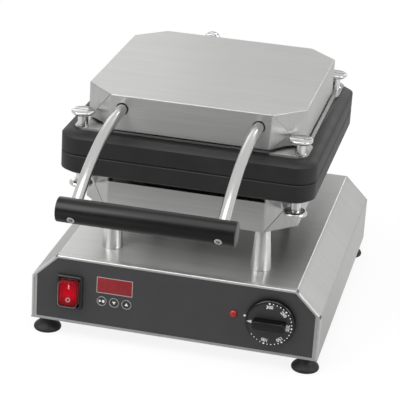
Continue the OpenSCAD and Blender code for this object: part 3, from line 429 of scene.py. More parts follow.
def put(piece, at, tilt=(0, 0, 0)):
    """Turns a piece by the angles in degrees, moves it to its place and settles both."""
    piece.rotation_euler = [radians(a) for a in tilt]
    piece.location = at
    return settled(piece)


def copy_of(piece):
    """A copy with its own mesh."""
    twin = piece.copy()
    twin.data = piece.data.copy()
    bpy.context.scene.collection.objects.link(twin)
    return twin


def joined(*pieces):
    """Joins the pieces into the first."""
    alone(*pieces)
    bpy.ops.object.join()
    return bpy.context.object


# Bright zinc plating: a cool, slightly mottled silver with small round highlights.
zinc_plate = metal("bright_zinc_plate", "#acaeaf", "#c8caca", (1.2, 1.2, 1.2), (0.2, 0.32), 0.003)
screw = turned([(0, 0), (4, 0), (4, 0.9), (3.7, 1.5), (3.0, 2.05), (2.0, 2.35), (0, 2.4)], 24)
for turn_by in (0, 90):
    cut(screw, cube((0.0042, 0.0008, 0.0022), (0, 0, 0.0024), (0, 0, turn_by)))
side_x, front_y = half_width - 0.0075, front + 0.012
rear_x, rear_heights = half_width - 0.006, (0.012, 0.0384)
below = [(s * side_x, front + (back - front) * t) for s in (-1, 1) for t in (0.2, 0.5, 0.8)]
below += [(s * half_width / 2, front_y) for s in (-1, 1)]
screws = [put(copy_of(screw), (x, y, underside), (180, 0, 0)) for x, y in below]
screws += [put(copy_of(screw), (s * rear_x, back, underside + z), (-90, 0, 0))
           for s in (-1, 1) for z in rear_heights]
bpy.data.objects.remove(screw)
fit(joined(*screws), "panel_screw_heads", "base", zinc_plate, "fasteners", "panel_screws")


# ---- Feet ----
# Four moulded rubber feet with a wide foot and a narrower neck, each held by a screw from below.

def moulded(name, dark, light, grain, gloss, relief, inputs=()):
    """A moulded or coated surface: grain is the size of its texture in mm, gloss its range of
    roughness, relief the depth of the texture in mm, and inputs set more of its shader."""
    finish = bpy.data.materials.new(name)
    finish.use_nodes = True
    tree = finish.node_tree
    for socket, value in dict(inputs).items():
        tree.nodes["Principled BSDF"].inputs[socket].default_value = value
    place = add(tree, "ShaderNodeTexCoord").outputs["Object"]
    fine = add(tree, "ShaderNodeTexNoise", {"Vector": place, "Scale": 1000 / grain,
                                            "Detail": 3, "Roughness": 0.55})
    clouds = add(tree, "ShaderNodeTexNoise", {"Vector": place, "Scale": 60 / grain, "Detail": 2})
    tone = add(tree, "ShaderNodeMix", {0: 0.5, 2: fine, 3: clouds})
    shaded(tree, tone, fine, dark, light, gloss, relief, spread=(0.35, 0.65), strength=0.6)
    return finish


# EPDM rubber, moulded: nearly black, matt, with a faint dusty bloom.
rubber = moulded("moulded_rubber", "#101010", "#1b1b1b", 1.2, (0.5, 0.68), 0.03, {"IOR": 1.52})
foot = turned([(0, 1.2), (9.5, 1.2), (10.2, 0), (12.8, 0), (13.9, 0.5), (14.3, 1.4), (14.3, 2.6),
               (13.7, 3.9), (12.3, 5.5), (10.5, 7.0), (8.9, 8.7), (7.8, 10.5), (7.2, 12.2),
               (7.0, 13.6), (7.0, 17), (0, 17)], 48)
foot_x, foot_inset = 0.1365, 0.0145
for row, y in (("front", front + foot_inset), ("rear", back - foot_inset)):
    for name, side in ((row + "_left", -1), (row + "_right", 1)):
        fit(put(copy_of(foot), (side * foot_x, y, 0)), "foot_" + name, "base", rubber, "rubber",
            *(["feet"] if name == "front_left" else []), smooth=40)
bpy.data.objects.remove(foot)
coat(zinc_plate, "foot_screws")


# ---- Front foil and its print ----
# A polyester foil with a fine velvet grain is stuck over the front plate, around the controls.
# Its print outlines the display in grey and marks the dial's pointer with a white dot.

# Printed polyester foil: even dark grey with a soft sheen; the 0.2 mm grain is drawn at 0.8 mm.
velvet_foil = moulded("velvet_polyester_foil", "#2d2d2f", "#333335", 0.8, (0.42, 0.52), 0.01,
                      {"IOR": 1.58})
coat(velvet_foil, "control_foil")
# Screen printed ink: flat, slightly chalky white.
white_ink = moulded("screen_printed_white_ink", "#d4d4d2", "#e6e6e4", 0.8, (0.5, 0.6), 0.005)
# The thin outlines are printed in a pale grey.
grey_ink = moulded("screen_printed_grey_ink", "#a29c9c", "#b2acac", 0.8, (0.5, 0.6), 0.005)
ink = 0.00008


def ring(radius, width, at, height=ink):
    """A printed or raised ring, in metres, that lies in the front's plane."""
    bpy.ops.mesh.primitive_circle_add(vertices=48, radius=radius, location=at,
                                      rotation=(radians(90), 0, 0), fill_type="NGON")
    opened(settled(bpy.context.object))
    bpy.ops.mesh.inset(thickness=width)
    bpy.ops.mesh.delete(type="FACE")
    return worked(close_edit(), "SOLIDIFY", thickness=height, offset=0)


def flat_shape(points, y, height=ink):
    """A flat printed shape with corners at (x, z) in metres, filled and thickened."""
    drawn([(x, y, z) for x, z in points])
    bpy.ops.mesh.edge_face_add()
    bpy.ops.mesh.normals_make_consistent(inside=False)
    return worked(close_edit(), "SOLIDIFY", thickness=height, offset=0)


def stroke(x, z, half_w, half_h, y, height=ink):
    """A printed upright rectangle about (x, z), from half its width and half its height."""
    return flat_shape([(x - half_w, z - half_h), (x + half_w, z - half_h),
                       (x + half_w, z + half_h), (x - half_w, z + half_h)], y, height)


display_x, display_z = -0.0622, 0.0649
display_w, display_h = 0.0365, 0.0164
dial_x, dial_z = 0.1005, 0.054
print_y, line = front - 0.00002, 0.0006
outline = [stroke(display_x, display_z + side * (display_h + line) / 2, display_w / 2 + line,
                  line / 2, print_y) for side in (-1, 1)]
outline += [stroke(display_x + side * (display_w + line) / 2, display_z, line / 2,
                   display_h / 2, print_y) for side in (-1, 1)]
fit(joined(*outline), "display_outline", "base", grey_ink, "foil", smooth=20)
pointer_dot = ring(0.0012, 0.00119, (dial_x - 0.0272, print_y, dial_z + 0.0016))
fit(pointer_dot, "dial_pointer_dot", "base", white_ink, "foil", smooth=20)


# ---- Mains switch ----
# A snap-in rocker switch: a black nylon frame with a raised bezel, and a red rocker in it that
# tips about its middle. The rocker carries the usual I and O.

# Black nylon 66, moulded: satin, very slightly grained.
black_nylon = moulded("black_nylon", "#121213", "#1a1a1b", 0.6, (0.34, 0.44), 0.01, {"IOR": 1.53})
switch_x, switch_z = -0.109, 0.0527
body_w, body_d, body_h = 0.023, 0.024, 0.0325
bezel_w, bezel_h, bezel_out = 0.027, 0.0365, 0.003
bezel = block((body_w, body_d, body_h), (switch_x, front + body_d / 2, switch_z))
pick("FACE", lambda at, way: way.y < -0.9)
pull(0, -0.00001, 0)
resize((bezel_w / body_w, 1, bezel_h / body_h), (switch_x, front, switch_z))
pull(0, -bezel_out, 0)
rounded(lambda at, way: abs(way.y) > 0.9 and at.y < front, 0.002, 4)
pick("FACE", lambda at, way: way.y < -0.9 and at.y < front - 0.002)
# The bezel's raised lip, its flat and the well that the rocker sits in.
bpy.ops.mesh.inset(thickness=0.0009, depth=0.0007)
bpy.ops.mesh.inset(thickness=0.0016)
bpy.ops.mesh.inset(thickness=0.0003, depth=-0.0003)
pull(0, 0.0155, 0)
close_edit()
fit(bezel, "switch_bezel", "base", black_nylon, "switch_black", "switch_frame")

# Red polycarbonate, moulded: saturated in its middle, with painted shade darkening its edges so
# that the middle looks lit through.
# It lies against the clear cap, so it hardly shines of its own.
red_rocker = moulded("red_polycarbonate_rocker", "#ce001e", "#de0024", 4, (0.2, 0.28), 0.002,
                     {"IOR": 1.585, "Specular IOR Level": 0.1})
tree = red_rocker.node_tree
base_colour = tree.nodes["Principled BSDF"].inputs["Base Color"]
place = add(tree, "ShaderNodeTexCoord").outputs["Object"]
reach = add(tree, "ShaderNodeVectorMath", (place, (switch_x, front, switch_z)),
            operation="DISTANCE").outputs["Value"]
# Painted shade: the red darkens towards #5c0c14 from 7.5 mm to 15.5 mm off the rocker's middle.
rim_painted_shade = add(tree, "ShaderNodeMapRange", (reach, 0.0075, 0.0155, 0, 0.75))
shade = add(tree, "ShaderNodeMix", {"Factor": rim_painted_shade, 6: base_colour.links[0].from_socket,
                                    7: hex_colour("#5c0c14")}, data_type="RGBA")
tree.links.new(shade.outputs[2], base_colour)
rocker_w, rocker_d, rocker_h = 0.0192, 0.0115, 0.0275
rocker_out, rocker_dip, rocker_lean = 0.0085, 0.0018, -8
rocker = block((rocker_w, rocker_d, rocker_h), (0, rocker_d / 2 - rocker_out, 0))
bpy.ops.mesh.bisect(plane_co=(0, 0, 0), plane_no=(0, 0, 1))
pick("VERT", lambda at, way: at.y < -0.008 and abs(at.z) < 0.001)
bpy.ops.transform.translate(value=(0, rocker_dip, 0))
pick("VERT", lambda at, way: at.y > 0 and abs(at.z) > 0.001)
resize((1, 1, 0.6), (0, 0, 0))
rounded(lambda at, way: at.y < -0.006 and abs(at.z) < 0.001, 0.003, 5)
rounded(lambda at, way: at.y < -0.0062 and (
    abs(at.z) > rocker_h / 2 - 0.00015 or abs(at.x) > rocker_w / 2 - 0.0001), 0.0008, 3)
close_edit()
rocker_at = (switch_x, front + 0.001, switch_z)
fit(put(rocker, rocker_at, (rocker_lean, 0, 0)), "switch_rocker_cap", "rocker", red_rocker,
    "rocker_red", "switch_rocker")
# The I and the O lie on the two slopes that fall from the rocker's ends to its middle.
slope = atan2(rocker_dip, 0.0135) * 180 / pi
dip_y, off_z = -0.00675, -0.0076
on_mark = put(stroke(0, 0.0063, 0.0007, 0.0023, 0), (0, dip_y, 0), (slope, 0, 0))
off_mark = put(ring(0.0025, 0.0011, (0, 0, 0)),
               (0, dip_y + off_z * sin(radians(slope)), off_z), (-slope, 0, 0))
fit(put(joined(on_mark, off_mark), rocker_at, (rocker_lean, 0, 0)), "switch_marks", "rocker",
    white_ink, "rocker_red", smooth=20)

# Clear soft PVC: a thin splash cap over the rocker, with rounded paler edges.
clear_pvc = moulded("clear_soft_pvc", "#fae0e2", "#fce8e9", 6, (0.04, 0.08), 0.002,
                    {"IOR": 1.53, "Transmission Weight": 1,
                     "Specular Tint": hex_colour("#a8383f")})
cap_w, cap_d, cap_h, cap_out, cap_z = 0.0211, 0.0092, 0.0288, 0.0122, switch_z + 0.0006
cap = block((cap_w, cap_d, cap_h), (switch_x, front - cap_out + cap_d / 2, cap_z))
pick("FACE", lambda at, way: way.y < -0.9)
resize((0.98, 1, 0.985), (switch_x, front, switch_z))
rounded(lambda at, way: abs(way.y) > 0.9, 0.004, 5)
rounded(lambda at, way: at.y < front - cap_out + 0.0001, 0.0014, 4)
pick("FACE", lambda at, way: way.y > 0.9)
bpy.ops.mesh.delete(type="FACE")
close_edit()
worked(cap, "SOLIDIFY", thickness=0.0006, offset=-1, use_even_offset=True)
fit(cap, "switch_splash_cap", "base", clear_pvc, "switch_black", smooth=40)


# ---- Timer display ----
# A tinted acrylic window set flush in the foil, over a block of red digits that are off.

# Red tinted acrylic: deep, glossy and almost opaque.
red_acrylic = moulded("red_tinted_acrylic", "#74121a", "#8a1620", 14, (0.08, 0.12), 0.001,
                      {"IOR": 1.49})
pane, flange, flange_w = 0.0019, 0.0015, 0.004
window = block((display_w, pane, display_h), (display_x, front + pane / 2, display_z))
rounded(lambda at, way: at.y < front + 0.0001, 0.0003, 2)
pick("FACE", lambda at, way: way.y > 0.9)
pull(0, 0.00001, 0)
resize(((display_w + flange_w) / display_w, 1, (display_h + flange_w) / display_h),
       (display_x, front, display_z))
pull(0, flange, 0)
close_edit()
fit(window, "display_panel", "base", red_acrylic, "display_red", "display_window")
# Segments that are off: a shade darker and duller than the window.
dark_segment = moulded("unlit_digit_segment", "#6d1a20", "#7a1f26", 5, (0.2, 0.3), 0.001)
long_half, short_half, digit_pitch = 0.0019, 0.0005, 0.0082
lying = [(0, z, long_half, short_half) for z in (0.0048, 0, -0.0048)]
standing = [(x, z, short_half, long_half) for z in (0.0024, -0.0024) for x in (-0.0025, 0.0025)]
bars = [stroke(display_x + (digit - 1.5) * digit_pitch + x, display_z + z, half_w, half_h,
               front - 0.00001, 0.00004)
        for digit in range(4) for x, z, half_w, half_h in lying + standing]
fit(joined(*bars), "display_digits", "base", dark_segment, "display_red", smooth=20)


# ---- Timer keys and board ----
# Three round keys under the foil's level press small switches on the timer's circuit board.
# Each has a pale ring and a plain symbol: start and stop, less, more.

# Grey ABS key cap: satin, a little glossier than the foil.
key_plastic = moulded("dark_grey_key_plastic", "#262628", "#2e2e30", 0.8, (0.36, 0.44), 0.008)
key = turned([(0, 0.35), (2.6, 0.25), (4.2, 0.05), (4.9, -0.15), (5.2, -0.5), (5.2, -2.2),
              (6.2, -2.2), (6.2, -3.2), (1.75, -3.2), (1.75, -7.7), (0, -7.7)], 40)
button_z, button_pitch = 0.0471, 0.0131
mark_y, mark_height = front - 0.00036, 0.00016
for i, name in enumerate(("start", "down", "up")):
    x, body = display_x + (i - 1) * button_pitch, "key_" + name
    fit(put(copy_of(key), (x, front, button_z), (90, 0, 0)), "key_cap_" + name, body,
        key_plastic, "button_grey", "button_" + name)
    fit(ring(0.0051, 0.0005, (x, front - 0.0002, button_z), height=0.0003), "key_ring_" + name,
        body, grey_ink, "button_grey", smooth=20)
    if name == "start":
        play = [(x - 0.0028, button_z - 0.0017), (x - 0.0001, button_z),
                (x - 0.0028, button_z + 0.0017)]
        marks = joined(flat_shape(play, mark_y, mark_height),
                       stroke(x + 0.0018, button_z, 0.0012, 0.0014, mark_y, mark_height))
    else:
        up = 1 if name == "up" else -1
        marks = flat_shape([(x - 0.0019, button_z - up * 0.0013),
                            (x + 0.0019, button_z - up * 0.0013),
                            (x, button_z + up * 0.0019)], mark_y, mark_height)
    fit(marks, "key_print_" + name, body, white_ink, "button_grey", smooth=20)
bpy.data.objects.remove(key)
# Green solder resist over glass fibre board: faintly mottled, half glossy.
solder_resist = moulded("green_solder_resist", "#1b5231", "#236440", 2, (0.25, 0.35), 0.01)
coat(solder_resist, "timer_board")


# ---- Pilot lamp ----
# A red lens of moulded polycarbonate in a small snap-in housing, off.

# Red polycarbonate, moulded: deep and glossy.
red_lens = moulded("red_lamp_lens", "#8c0a11", "#a01018", 3, (0.07, 0.12), 0.001,
                   {"IOR": 1.58, "Coat Weight": 0.5})
lens = turned([(0, 2.8), (1.2, 2.7), (2.3, 2.35), (3.1, 1.75), (3.7, 1.0), (3.8, 0.5), (4, 0.45),
               (4, -1.9), (6, -1.9), (6, -4.4), (4, -4.4), (4, -20), (0, -20)], 36)
lamp_x, lamp_z = 0.0615, 0.0557
fit(put(lens, (lamp_x, front, lamp_z), (90, 0, 0)), "pilot_lamp_lens", "base", red_lens,
    "lamp_red", "pilot_lamp", smooth=50)


# ---- Thermostat and its dial ----
# A bulb thermostat behind the front plate, turned by a moulded dial: a round skirt with printed
# temperatures and dots, and a grip bar across it.

# Steatite and phenolic switch body: chalky off-white.
steatite = moulded("steatite_ceramic", "#cdc8ba", "#dad6ca", 2, (0.55, 0.7), 0.02)
coat(steatite, "thermostat", "terminal_block")
# Turned free-cutting steel: bright with fine rings.
turned_steel = metal("turned_steel", "#b8b9b9", "#cccccc", (2, 2, 0.4), (0.2, 0.3), 0.003)
coat(turned_steel, "thermostat_shaft")
# Black thermoset dial: its face satin and a shade lighter, the skirt and the bar glossier.
dial_plastic = moulded("satin_thermoset_face", "#262627", "#2c2c2d", 0.9, (0.36, 0.46), 0.008)
bar_plastic = moulded("black_thermoset_bar", "#030304", "#070708", 0.9, (0.12, 0.18), 0.004)
dial_at = (dial_x, front, dial_z)
skirt = turned([(3.1, 0.8), (24.2, 0.8), (25.0, 1.4), (25.25, 2.2), (25.25, 4.6), (25.0, 5.8),
                (24.4, 6.9), (23.4, 7.6), (22.2, 7.8), (0, 7.8), (0, 6.8), (3.1, 6.8)], 72)
fit(put(skirt, dial_at, (90, 0, 0)), "dial_skirt", "dial", bar_plastic, "dial_black",
    "thermostat_dial", smooth=35)
dial_face = turned([(0, 7.5), (22.6, 7.5), (22.6, 7.82), (0, 7.82)], 72)
fit(put(dial_face, dial_at, (90, 0, 0)), "dial_face", "dial", dial_plastic, "dial_black",
    smooth=35)
skirt_out, bar_w, bar_d, bar_h, bar_sunk = 0.0078, 0.034, 0.0095, 0.011, 0.0005
bar_y = front - skirt_out - bar_d / 2 + bar_sunk
bar = block((bar_w, bar_d, bar_h), (dial_x, bar_y, dial_z))
rounded(lambda at, way: abs(way.y) > 0.9, 0.0032, 5)
pick("FACE", lambda at, way: way.y < -0.9)
resize((0.97, 1, 0.82), dial_at)
rounded(lambda at, way: at.y < front - 0.0165 and abs(way.y) < 0.1, 0.0008, 3)
close_edit()
fit(bar, "dial_bar", "dial", bar_plastic, "dial_black", smooth=35)
# The scale: 25 dots, the larger ones at the numbers, and a small arrow at its start.
face_y = front - 0.0079
scale_start, scale_turn, dots, dots_apart = -4, 236, 24, 5
dot_circle, number_circle, big_dot, small_dot = 0.0222, 0.0183, 0.0009, 0.00062
marks = []
for i in range(dots + 1):
    angle = radians(scale_start + scale_turn * i / dots)
    radius = small_dot if i % dots_apart else big_dot
    marks.append(ring(radius, radius - 0.00001, (dial_x + dot_circle * sin(angle), face_y + 0.0002,
                                                 dial_z + dot_circle * cos(angle)), 0.0004))
for i, number in enumerate(("300", "250", "200", "150", "100")):
    bpy.ops.object.text_add()
    text = bpy.context.object.data
    text.body, text.size, text.extrude, text.offset = number, 0.0047, 0.00005, 0.0001
    text.align_x = text.align_y = "CENTER"
    bpy.ops.object.convert(target="MESH")
    printed = put(bpy.context.object, (0, 0, number_circle), (90, 0, 0))
    angle = scale_start + scale_turn * dots_apart * i / dots
    marks.append(put(printed, (dial_x, face_y, dial_z), (0, angle, 0)))
marks.append(flat_shape([(dial_x - 0.0236, dial_z), (dial_x - 0.0186, dial_z - 0.0017),
                         (dial_x - 0.0186, dial_z + 0.0017)], face_y, 0.0001))
fit(joined(*marks), "dial_print", "dial", white_ink, "dial_black", smooth=20)


# ---- Feeler ----
# A copper bulb in the lower plate and the capillary that runs down to the thermostat.

# Drawn copper tube, a little tarnished.
copper = metal("tarnished_copper", "#8a5a3a", "#b0744c", (3, 3, 3), (0.28, 0.42), 0.004)
coat(copper, "thermostat_feeler")


# ---- Mains gland ----
# A black nylon cable gland in the rear plate: hexagonal body and a domed nut around the bore.

body_nut = put(cylinder(6, 0.0115, 0.005), (0, 0, 0.0025))
worked(body_nut, "BEVEL", width=0.0005, segments=2, limit_method="ANGLE")
dome = turned([(4.25, -9.5), (8, -9.5), (8, 5), (9.5, 5), (9.5, 6.2), (9.1, 9.5), (8.3, 12.0),
               (7.0, 14.2), (6.25, 15), (4.25, 15), (4.25, -9.5)], 40)
gland_x, gland_z = 0.105, 0.047
gland = put(joined(body_nut, dome), (gland_x, back, gland_z), (-90, 0, 0))
fit(gland, "mains_gland_body", "base", black_nylon, "gland_black", "mains_gland")


# ---- Pillars ----
# Four turned steel pillars hold the lower half above the deck; a threaded tube runs through each.

# Turned stainless bar: its fine rings draw the reflections out along the bar.
brushed_pillar = metal("turned_stainless_bar", "#dcdcdb", "#e2e2e1", (6, 6, 0.6), (0.2, 0.24),
                       0.0006)
tree = brushed_pillar.node_tree
shader = tree.nodes["Principled BSDF"]
along = add(tree, "ShaderNodeCombineXYZ", (0, 0, 1))
tree.links.new(along.outputs[0], shader.inputs["Tangent"])
shader.inputs["Anisotropic"].default_value = 0.92
pillar = turned([(5.1, 0), (10.6, 0), (11, 0.4), (7.3, 45.1), (7.0, 45.7), (5.1, 45.7),
                 (5.1, 0)], 48)
middle_y, pillar_x, pillar_y = front + 0.1415, 0.078, 0.0975
corners = ((-1, -1), (1, -1), (-1, 1), (1, 1))
for i, (sx, sy) in enumerate(corners):
    fit(put(copy_of(pillar), (sx * pillar_x, middle_y + sy * pillar_y, deck_z)),
        f"pillar_{i + 1}", "base", brushed_pillar, "turned_steel",
        *(["pillars"] if i == 0 else []), smooth=40)
bpy.data.objects.remove(pillar)
# Zinc plated tubes and nuts, yellow passivated.
yellow_zinc = metal("yellow_passivated_zinc", "#b08f4e", "#cbae6c", (2, 2, 2), (0.25, 0.4), 0.004)
coat(yellow_zinc, "pillar_tubes")


# ---- Baking plates ----
# Two cast iron plates with bevelled outer edges; the baking faces carry a waffle lattice.

seam_z = 0.1985


def softened(node, width, lip):
    """A merged copy of a plate's CAD node with rounded edges, and a wider chamfer at the seam."""
    piece = copy_of(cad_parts[node])
    piece.parent = None
    for key in list(piece.keys()):
        del piece[key]
    opened(piece)
    bpy.ops.mesh.remove_doubles(threshold=1e-6)
    bpy.ops.mesh.dissolve_limited(angle_limit=radians(1))
    low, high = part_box(node)
    middle, reach = (low + high) / 2, (high - low) / 2
    rounded(lambda at, way: abs(at.z - seam_z) < 0.0002 and abs(way.z) < 0.1 and max(
        abs(at.x - middle.x) / reach.x, abs(at.y - middle.y) / reach.y) > 0.93, lip, 1)
    close_edit()
    return worked(piece, "BEVEL", width=width, segments=2, limit_method="ANGLE",
                  angle_limit=radians(50), use_clamp_overlap=True)


# Seasoned cast iron: anthracite, satin, with a fine sand cast grain of about 1 mm.
cast_iron = moulded("seasoned_cast_iron", "#0c0c0d", "#161617", 1.3, (0.5, 0.62), 0.05)
for half, body in (("lower", "base"), ("upper", "lid")):
    fit(softened(half + "_plate", 0.0009, 0.0010), half + "_baking_plate", body, cast_iron,
        "cast_iron", half + "_plate")


# ---- Heaters, press sheets and insulation ----
# Tubular heaters lie in each plate's pocket under a steel press sheet and a glass fibre mat.

# Heater tube, stainless, blued brown by heat.
heater_tube = metal("heat_tinted_steel", "#5d5650", "#7a7068", (4, 4, 4), (0.35, 0.5), 0.004)
coat(heater_tube, "lower_heater", "upper_heater")
coat(mill_sheet, "lower_press_sheet", "upper_press_sheet")
# Needled glass fibre mat: warm white, fully matt, with a 2 mm felt.
glass_mat = moulded("glass_fibre_mat", "#cfc8ac", "#e2dcc6", 2.5, (0.85, 0.95), 0.4)
coat(glass_mat, "lower_mat", "upper_mat")


# ---- Carriers ----
# Laser cut stainless plates between each baking plate and its cover; the thumb screws hold them.

coat(brushed_stainless, "lower_carrier", "upper_carrier")


# ---- Covers ----
# Boxes of 1.2 mm brushed stainless over the heaters. Each corner is cut off and its flap is
# folded in two, so that it bulges at one point and leaves sharp dark seams.

cover_w, cover_d = 0.2226, 0.2308
cover_low, cover_top = 0.026, 0.0623
corner, cover_sheet, bulge, tuck = 0.030, 0.0012, 0.0022, 0.003
flap_gap, flap_gap_depth = 0.0008, 0.0018
tip = cover_top - 0.6 * (cover_top - cover_low)


def cover_box():
    """A cover built upwards from the seam between the plates, about the heads' middle."""
    piece = block((cover_w, cover_d, cover_top - cover_low), (0, 0, (cover_low + cover_top) / 2))
    rounded(lambda at, way: abs(way.z) > 0.9, corner, 1)
    pick("FACE", lambda at, way: way.z < -0.9)
    bpy.ops.mesh.delete(type="ONLY_FACE")
    pick("EDGE", lambda at, way: abs(at.z - cover_low) < 1e-4 and abs(way.x) > 0.4
         and abs(way.y) > 0.4)
    bpy.ops.mesh.subdivide(number_cuts=1)
    pick("FACE", lambda at, way: abs(way.x) > 0.4 and abs(way.y) > 0.4)
    bpy.ops.mesh.poke()
    # Each flap's middle is pushed out to a point, and its lower edge tucked in at the middle.
    seams = []
    for sx, sy in corners:
        mid = Vector((sx * (cover_w - corner) / 2, sy * (cover_d - corner) / 2, 0))
        out = Vector((sx, sy, 0)).normalized()
        pick("VERT", lambda at, way: abs(at.x - mid.x) + abs(at.y - mid.y) < 0.002
             and cover_low + 0.001 < at.z < cover_top - 0.001)
        at = [v.co.z for v in bmesh.from_edit_mesh(piece.data).verts if v.select][0]
        bpy.ops.transform.translate(value=out * bulge + Vector((0, 0, tip - at)))
        pick("VERT", lambda at, way: abs(at.x - mid.x) + abs(at.y - mid.y) < 0.002
             and at.z < cover_low + 0.0001)
        bpy.ops.transform.translate(value=-out * tuck)
        seams.append((Vector((sx * (cover_w / 2 - corner), sy * cover_d / 2, cover_top)),
                      mid + out * bulge + Vector((0, 0, tip))))
    rounded(lambda at, way: abs(at.z - cover_top) < 1e-4 or (abs(way.z) > 0.98 and (
        abs(abs(at.x) - cover_w / 2) < 1e-4 or abs(abs(at.y) - cover_d / 2) < 1e-4)), 0.0012, 6)
    bpy.ops.mesh.select_all(action="SELECT")
    bpy.ops.mesh.normals_make_consistent(inside=False)
    close_edit()
    worked(piece, "SOLIDIFY", thickness=cover_sheet, offset=-1, use_even_offset=True)
    slits = []
    for end, apex in seams:
        along = (apex - end).normalized()
        away = Vector((end.x, end.y, 0)).normalized()
        away = (away - along * away.dot(along)).normalized()
        length = (apex - end).length + 0.0006
        slit = settled(cube((length, flap_gap, flap_gap_depth), (0, 0, 0)))
        slit.matrix_world = Matrix.Translation((end + apex) / 2) @ Matrix(
            (along, away.cross(along), away)).transposed().to_4x4()
        slits.append(settled(slit))
    return cut(piece, joined(*slits))


box_up = cover_box()
# The lower cover ends short of its carrier, so that a dark slit is left under the plate.
slit_below_plate = 0.0042
box_down = opened(copy_of(box_up))
pick("VERT", lambda at, way: abs(at.z - cover_low) < 0.0003)
bpy.ops.transform.translate(value=(0, 0, slit_below_plate))
close_edit()
put(box_down, (0, middle_y, seam_z), (180, 0, 0))
put(box_up, (0, middle_y, seam_z))
cover_front = middle_y - cover_d / 2
rod_x, rod_z, rod_hole = 0.069, 0.2468, 0.0064
for side in (-1, 1):
    cut(box_up, cylinder(40, rod_hole, 0.008, (side * rod_x, cover_front, rod_z), (90, 0, 0)))
fit(box_up, "upper_cover_sheet", "lid", brushed_stainless, "stainless", "upper_cover", smooth=4)
fit(box_down, "lower_cover_sheet", "base", brushed_stainless, "stainless", "lower_cover", smooth=4)
coat(turned_steel, "upper_cover_posts", "lower_cover_posts")


# ---- Thumb screws ----
# Eight turned stainless screws with a collar and a broad slotted head clamp plate and carrier.

# Polished stainless bar: bright and nearly a mirror, with hardly any marks.
polished_steel = metal("polished_stainless_bar", "#d6d6d5", "#dcdcdb", (2, 2, 2), (0.19, 0.24),
                       0.0006)
thumb = turned([(0, -14), (2.4, -14), (3, -13), (3, 0), (6.25, 0), (6.25, 1.1), (5.25, 1.6),
                (5.25, 12.5), (9.6, 12.5), (10.6, 13.1), (11.7, 14.2), (12, 14.9), (12, 16.0),
                (11.7, 16.6), (11.0, 17.0), (0, 17.0)], 48)
cut(thumb, cube((0.026, 0.0016, 0.0024), (0, 0, 0.017)))
thumb_x, thumb_y, thumb_rise = 0.1105, 0.109, 0.023
for half, flip, way in (("lower", 180, -1), ("upper", 0, 1)):
    for tag, (sx, sy) in zip(("fl", "fr", "rl", "rr"), corners):
        at = (sx * thumb_x, middle_y + sy * thumb_y, seam_z + way * thumb_rise)
        fit(put(copy_of(thumb), at, (flip, 0, 0)), f"{half}_thumb_screw_{tag}",
            f"{half}_knob_{tag}", polished_steel, "polished_steel", f"{half}_screw_{tag}",
            smooth=35)
bpy.data.objects.remove(thumb)


# ---- Hinge ----
# Steel leaves riveted to the carriers, with ears on one long pin held by two spring rings.

coat(mill_sheet, "lower_hinge_leaves", "upper_hinge_leaves")
coat(zinc_plate, "lower_rivets", "upper_rivets")
coat(turned_steel, "hinge_pin")
# Phosphated spring steel: dark grey, half glossy.
spring_steel = metal("phosphated_spring_steel", "#4b4c4e", "#636466", (1, 1, 1), (0.3, 0.42), 0.003)
coat(spring_steel, "pin_rings")


# ---- Handle rods ----
# Two bent stainless rods come out through holes in the upper cover, from aluminium blocks
# inside it, and run down in a long curve to the grip.

# Machined aluminium: pale with fine cutter marks.
machined_aluminium = metal("machined_aluminium", "#b9bbbd", "#cfd1d2", (1, 6, 1), (0.28, 0.38),
                           0.004)
coat(machined_aluminium, "handle_blocks")
bend = 32
bend_y, bend_r, bend_a = front + 0.0111, 0.240, radians(bend)
rod_radius, rod_start, rod_end = 0.0055, cover_front + 0.0432, 0.017
bpy.ops.mesh.primitive_circle_add(vertices=40, radius=rod_radius, fill_type="NGON",
                                  location=(0, rod_start, rod_z), rotation=(radians(90), 0, 0))
rod = opened(settled(bpy.context.object), "FACE")
pull(0, bend_y - rod_start, 0)
bpy.ops.mesh.spin(steps=24, angle=-bend_a, center=(0, bend_y, rod_z - bend_r), axis=(1, 0, 0))
pull(0, -rod_end * cos(bend_a), -rod_end * sin(bend_a))
close_edit(mend=True)
for side, name in ((-1, "left"), (1, "right")):
    fit(put(copy_of(rod), (side * rod_x, 0, 0)), "handle_bar_" + name, "lid", polished_steel,
        "polished_steel", "handle_rod_" + name, smooth=40)
bpy.data.objects.remove(rod)


# ---- Grip ----
# A solid black phenolic bar across both rods, held by socket screws sunk in from below.

# Black phenolic, turned and waxed: satin with soft long highlights.
phenolic = moulded("black_phenolic_bar", "#080809", "#0e0e0f", 1.5, (0.27, 0.36), 0.006,
                   {"IOR": 1.5, "Specular IOR Level": 0.36})
grip_reach = 0.019
grip_y = bend_y - bend_r * sin(bend_a) - grip_reach * cos(bend_a)
grip_z = rod_z - bend_r * (1 - cos(bend_a)) - grip_reach * sin(bend_a)
grip = turned([(0, -84), (10.9, -84), (11.5, -83.7), (11.75, -83), (11.75, 83), (11.5, 83.7),
               (10.9, 84), (0, 84)], 64)
put(grip, (0, grip_y, grip_z), (0, 90, 0))
grip_screw = turned([(0, -7), (2.5, -7), (2.5, 5), (4.15, 5), (4.15, 10.7), (3.7, 11.1),
                     (0, 11.1)], 32)
cut(grip_screw, cylinder(6, 0.0024, 0.006, (0, 0, 0.0115)))
screws, screw_hole = [], 0.00425
for side in (-1, 1):
    at = (side * rod_x, grip_y, grip_z)
    hole = settled(cylinder(32, screw_hole, 0.02, (0, 0, -0.015)))
    cut(grip, put(hole, at, (bend - 90, 0, 0)))
    screws.append(put(copy_of(grip_screw), at, (bend + 90, 0, 0)))
bpy.data.objects.remove(grip_screw)
fit(grip, "handle_grip_bar", "lid", phenolic, "grip_black", "handle_grip", smooth=35)
fit(joined(*screws), "grip_socket_screws", "lid", polished_steel, "fasteners", "grip_screws")


# ---- Flexible conduit ----
# Corrugated steel hose carries the wires from the base to the lid; a nut clamps each end.

